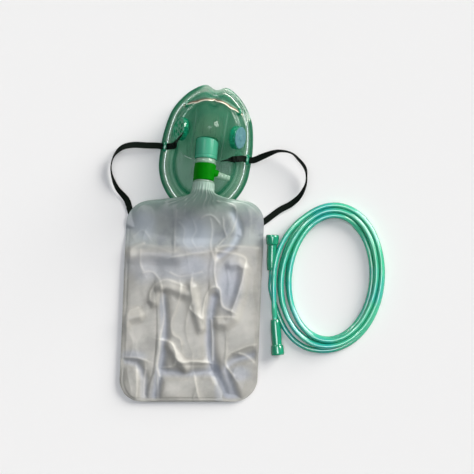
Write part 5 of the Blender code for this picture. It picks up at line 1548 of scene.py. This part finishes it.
def make_strap(elastic):
    rings, runs = strap_rings()
    bm = bmesh.new()
    add_loft(bm, rings)
    add_layers(bm, ("run",), runs)
    for end, knot in ((LEFT_END, LEFT_KNOT), (RIGHT_END, RIGHT_KNOT)):
        knot_loops(bm, knot_frame(end, knot))
    dress(link_mesh("head_strap_elastic", bm, elastic, sharp=math.radians(60)), "head_strap")


# Supply tubing


def coil_point(angle, inset, height):
    """Point on the oval of the coil, a distance inside its middle line."""
    local = Vector(((COIL_HALF_X - inset) * math.cos(angle), (COIL_HALF_Y - inset) * math.sin(angle), 0))
    world = COIL_CENTRE + Matrix.Rotation(COIL_TURN, 3, "Z") @ local
    return Vector((world.x, world.y, height))


def coil_turns():
    """Points of the coil: a layer wound inwards on the floor, a climb, and a layer wound outwards on it."""
    points = []
    steps = round((COIL_END - COIL_START) / COIL_STEP)
    for k in range(1, steps):
        angle = COIL_START + (COIL_END - COIL_START) * k / steps
        turns = (angle - COIL_START) / 360
        upper = turns - LOWER_TURNS - CLIMB_TURNS / 2
        if upper < 0:
            inset = LOWER_START_INSET + turns
        else:
            inset = UPPER_START_INSET - upper
        joined = smoothstep((angle - COIL_START) / JOIN_ANGLE)
        leaving = smoothstep(1 - (COIL_END - angle) / LEAVE_ANGLE)
        off_middle = abs((angle - SPREAD_MIDDLE + 180) % 360 - 180)
        outer = max(0.0, (UPPER_START_INSET - inset) / (UPPER_START_INSET - LOWER_START_INSET)) ** 1.5
        inset -= SPREAD_OUT * outer * smoothstep(1 - off_middle / SPREAD_REACH) * joined * (1 - leaving)
        inset -= JOIN_OUT * (1 - joined) + LEAVE_OUT * leaving
        climb = smoothstep((turns - LOWER_TURNS) / CLIMB_TURNS)
        height = TUBE_DIAMETER * (0.5 + climb)
        points.append(coil_point(math.radians(angle), inset * TUBE_DIAMETER, height + 0.00005))
    return points


def tube_route():
    """Middle line of the tubing, from one funnel through the coil to the other."""
    return spline([Vector(p) for p in LEAD_A], 4) + coil_turns() + spline([Vector(p) for p in LEAD_B[::-1]], 4)


def make_funnel(name, route, material):
    """Soft end piece of the tubing: a socket mouth with a rolled rim, tapering to the tube."""
    start, following = Vector(route[0]), Vector(route[1])
    direction = (start - following).normalized()
    flat = Vector((direction.x, direction.y, 0)).normalized()
    tilt = (FUNNEL_MOUTH - start.z) / FUNNEL_LENGTH
    direction = (flat + Vector((0, 0, tilt))).normalized()
    length = FUNNEL_LENGTH
    profile = ((0, CLEARANCE), (FUNNEL_BODY * 0.86, CLEARANCE), (FUNNEL_BODY * 0.92, 0.004), (FUNNEL_BODY, 0.010),
               (FUNNEL_BODY * 0.96, length - FUNNEL_RIM - 0.001), (FUNNEL_MOUTH * 0.93, length - FUNNEL_RIM),
               (FUNNEL_MOUTH, length - 0.002), (FUNNEL_MOUTH * 0.94, length), (FUNNEL_SOCKET * 1.08, length),
               (FUNNEL_SOCKET, length - 0.003), (FUNNEL_SOCKET * 0.8, length - FUNNEL_SOCKET_DEPTH),
               (0, length - FUNNEL_SOCKET_DEPTH))
    item = turned(name + "_fine", material, profile, frame_from(start, direction, Vector((0, 0, 1))), 0.0004, 72)
    dress(item, name)
    return item


def make_tubing():
    soft = tube_material("green_tubing", ((0.58, 0.98, 0.90, 1), (0.02, 0.58, 0.44, 1)),
                         (rgb(82, 242, 190), rgb(0, 124, 92)), rgb(38, 216, 204), 0.60)
    stiff = tube_material("green_funnel", ((0.16, 0.76, 0.54, 1), (0.00, 0.36, 0.24, 1)),
                          (rgb(22, 190, 142), rgb(0, 108, 76)), rgb(20, 180, 136), 0.66)
    ends = [make_funnel(name, route, stiff) for name, route in (("tube_connector_a", LEAD_A),
                                                                ("tube_connector_b", LEAD_B))]
    route = tube_route()
    curve = bpy.data.curves.new("supply_tubing", "CURVE")
    curve.dimensions = "3D"
    curve.bevel_depth = TUBE_DIAMETER / 2
    curve.bevel_resolution = 8
    curve.use_fill_caps = True
    curve.resolution_u = 1
    run = curve.splines.new("POLY")
    run.points.add(len(route) - 1)
    for place, point in zip(run.points, route):
        place.co = (*point, 1.0)
    run.use_smooth = True
    curve.materials.append(soft)
    tube = bpy.data.objects.new("supply_tubing", curve)
    bpy.context.scene.collection.objects.link(tube)
    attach(tube, BODY)
    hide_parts("tube_coil", "tube_lead_a", "tube_lead_b")


# Floor, light and camera


def make_floor():
    shader = Shader("floor_paper")
    grain = shader.grain(shader.position(), 900.0, 2.0)
    low, high = FLOOR_ALBEDO * 0.997, FLOOR_ALBEDO * 1.003
    tone = shader.colour_mix(grain, (low, low, low, 1), (high, high, high, 1))
    material = shader.finish(shader.add("BsdfDiffuse", {"Color": tone}).outputs[0])
    mesh = bpy.data.meshes.new("floor")
    half = FLOOR_HALF
    mesh.from_pydata([(-half, -half, 0), (half, -half, 0), (half, half, 0), (-half, half, 0)], [], [(0, 1, 2, 3)])
    mesh.materials.append(material)
    floor = bpy.data.objects.new("floor", mesh)
    bpy.context.scene.collection.objects.link(floor)


def make_sun(name, direction, share, size, tint):
    """A soft distant lamp that gives the floor its share of the light."""
    lamp = bpy.data.lights.new(name, "SUN")
    lamp.energy = share * math.pi / direction.normalized().z
    lamp.angle = size
    lamp.color = tint
    item = bpy.data.objects.new(name, lamp)
    item.rotation_euler = direction.to_track_quat("Z", "Y").to_euler()
    bpy.context.scene.collection.objects.link(item)


def make_world():
    """A dim room with a wide soft light overhead."""
    world = bpy.data.worlds.new("studio")
    world.use_nodes = True
    tree = world.node_tree
    background = tree.nodes["Background"]
    background.inputs["Color"].default_value = (*SKY_TINT, 1.0)
    direction = tree.nodes.new("ShaderNodeTexCoord")
    split = tree.nodes.new("ShaderNodeSeparateXYZ")
    level = tree.nodes.new("ShaderNodeMapRange")
    level.interpolation_type = "SMOOTHSTEP"
    for name, value in (("From Min", SKY_RISE[0]), ("From Max", SKY_RISE[1]), ("To Min", SKY_LOW),
                        ("To Max", SKY_HIGH)):
        level.inputs[name].default_value = value
    tree.links.new(direction.outputs["Generated"], split.inputs[0])
    tree.links.new(split.outputs["Z"], level.inputs["Value"])
    tree.links.new(level.outputs["Result"], background.inputs["Strength"])
    bpy.context.scene.world = world


def make_camera():
    camera = bpy.data.cameras.new("camera")
    camera.sensor_width = SENSOR_WIDTH
    camera.lens = SENSOR_WIDTH * VIEW_DISTANCE / VIEW_WIDTH
    item = bpy.data.objects.new("camera", camera)
    item.location = (*VIEW_CENTRE, VIEW_DISTANCE)
    bpy.context.scene.collection.objects.link(item)
    bpy.context.scene.camera = item


def build():
    make_camera()
    make_tubing()
    rubber = opaque_material("valve_rubber", rgb(80, 132, 138), rgb(64, 115, 124), 0.35, 300.0)
    green = opaque_material("green_band", rgb(2, 117, 4), rgb(1, 108, 3), 0.5, 200.0, specular=0.03)
    clear = clear_part_material()
    make_mask()
    make_exhalation_flap(rubber)
    make_nose_clip(clip_material())
    make_connector_body(clear)
    make_inlet_flap(rubber)
    make_collar(green)
    make_bag(film_material())
    make_strap(elastic_material())
    make_floor()
    make_sun("key", KEY_FROM, KEY_SHARE, KEY_SIZE, KEY_TINT)
    make_sun("fill", FILL_FROM, FILL_SHARE, FILL_SIZE, (1.0, 1.0, 1.0))
    make_world()
    bpy.context.scene.view_settings.view_transform = "Standard"


build()
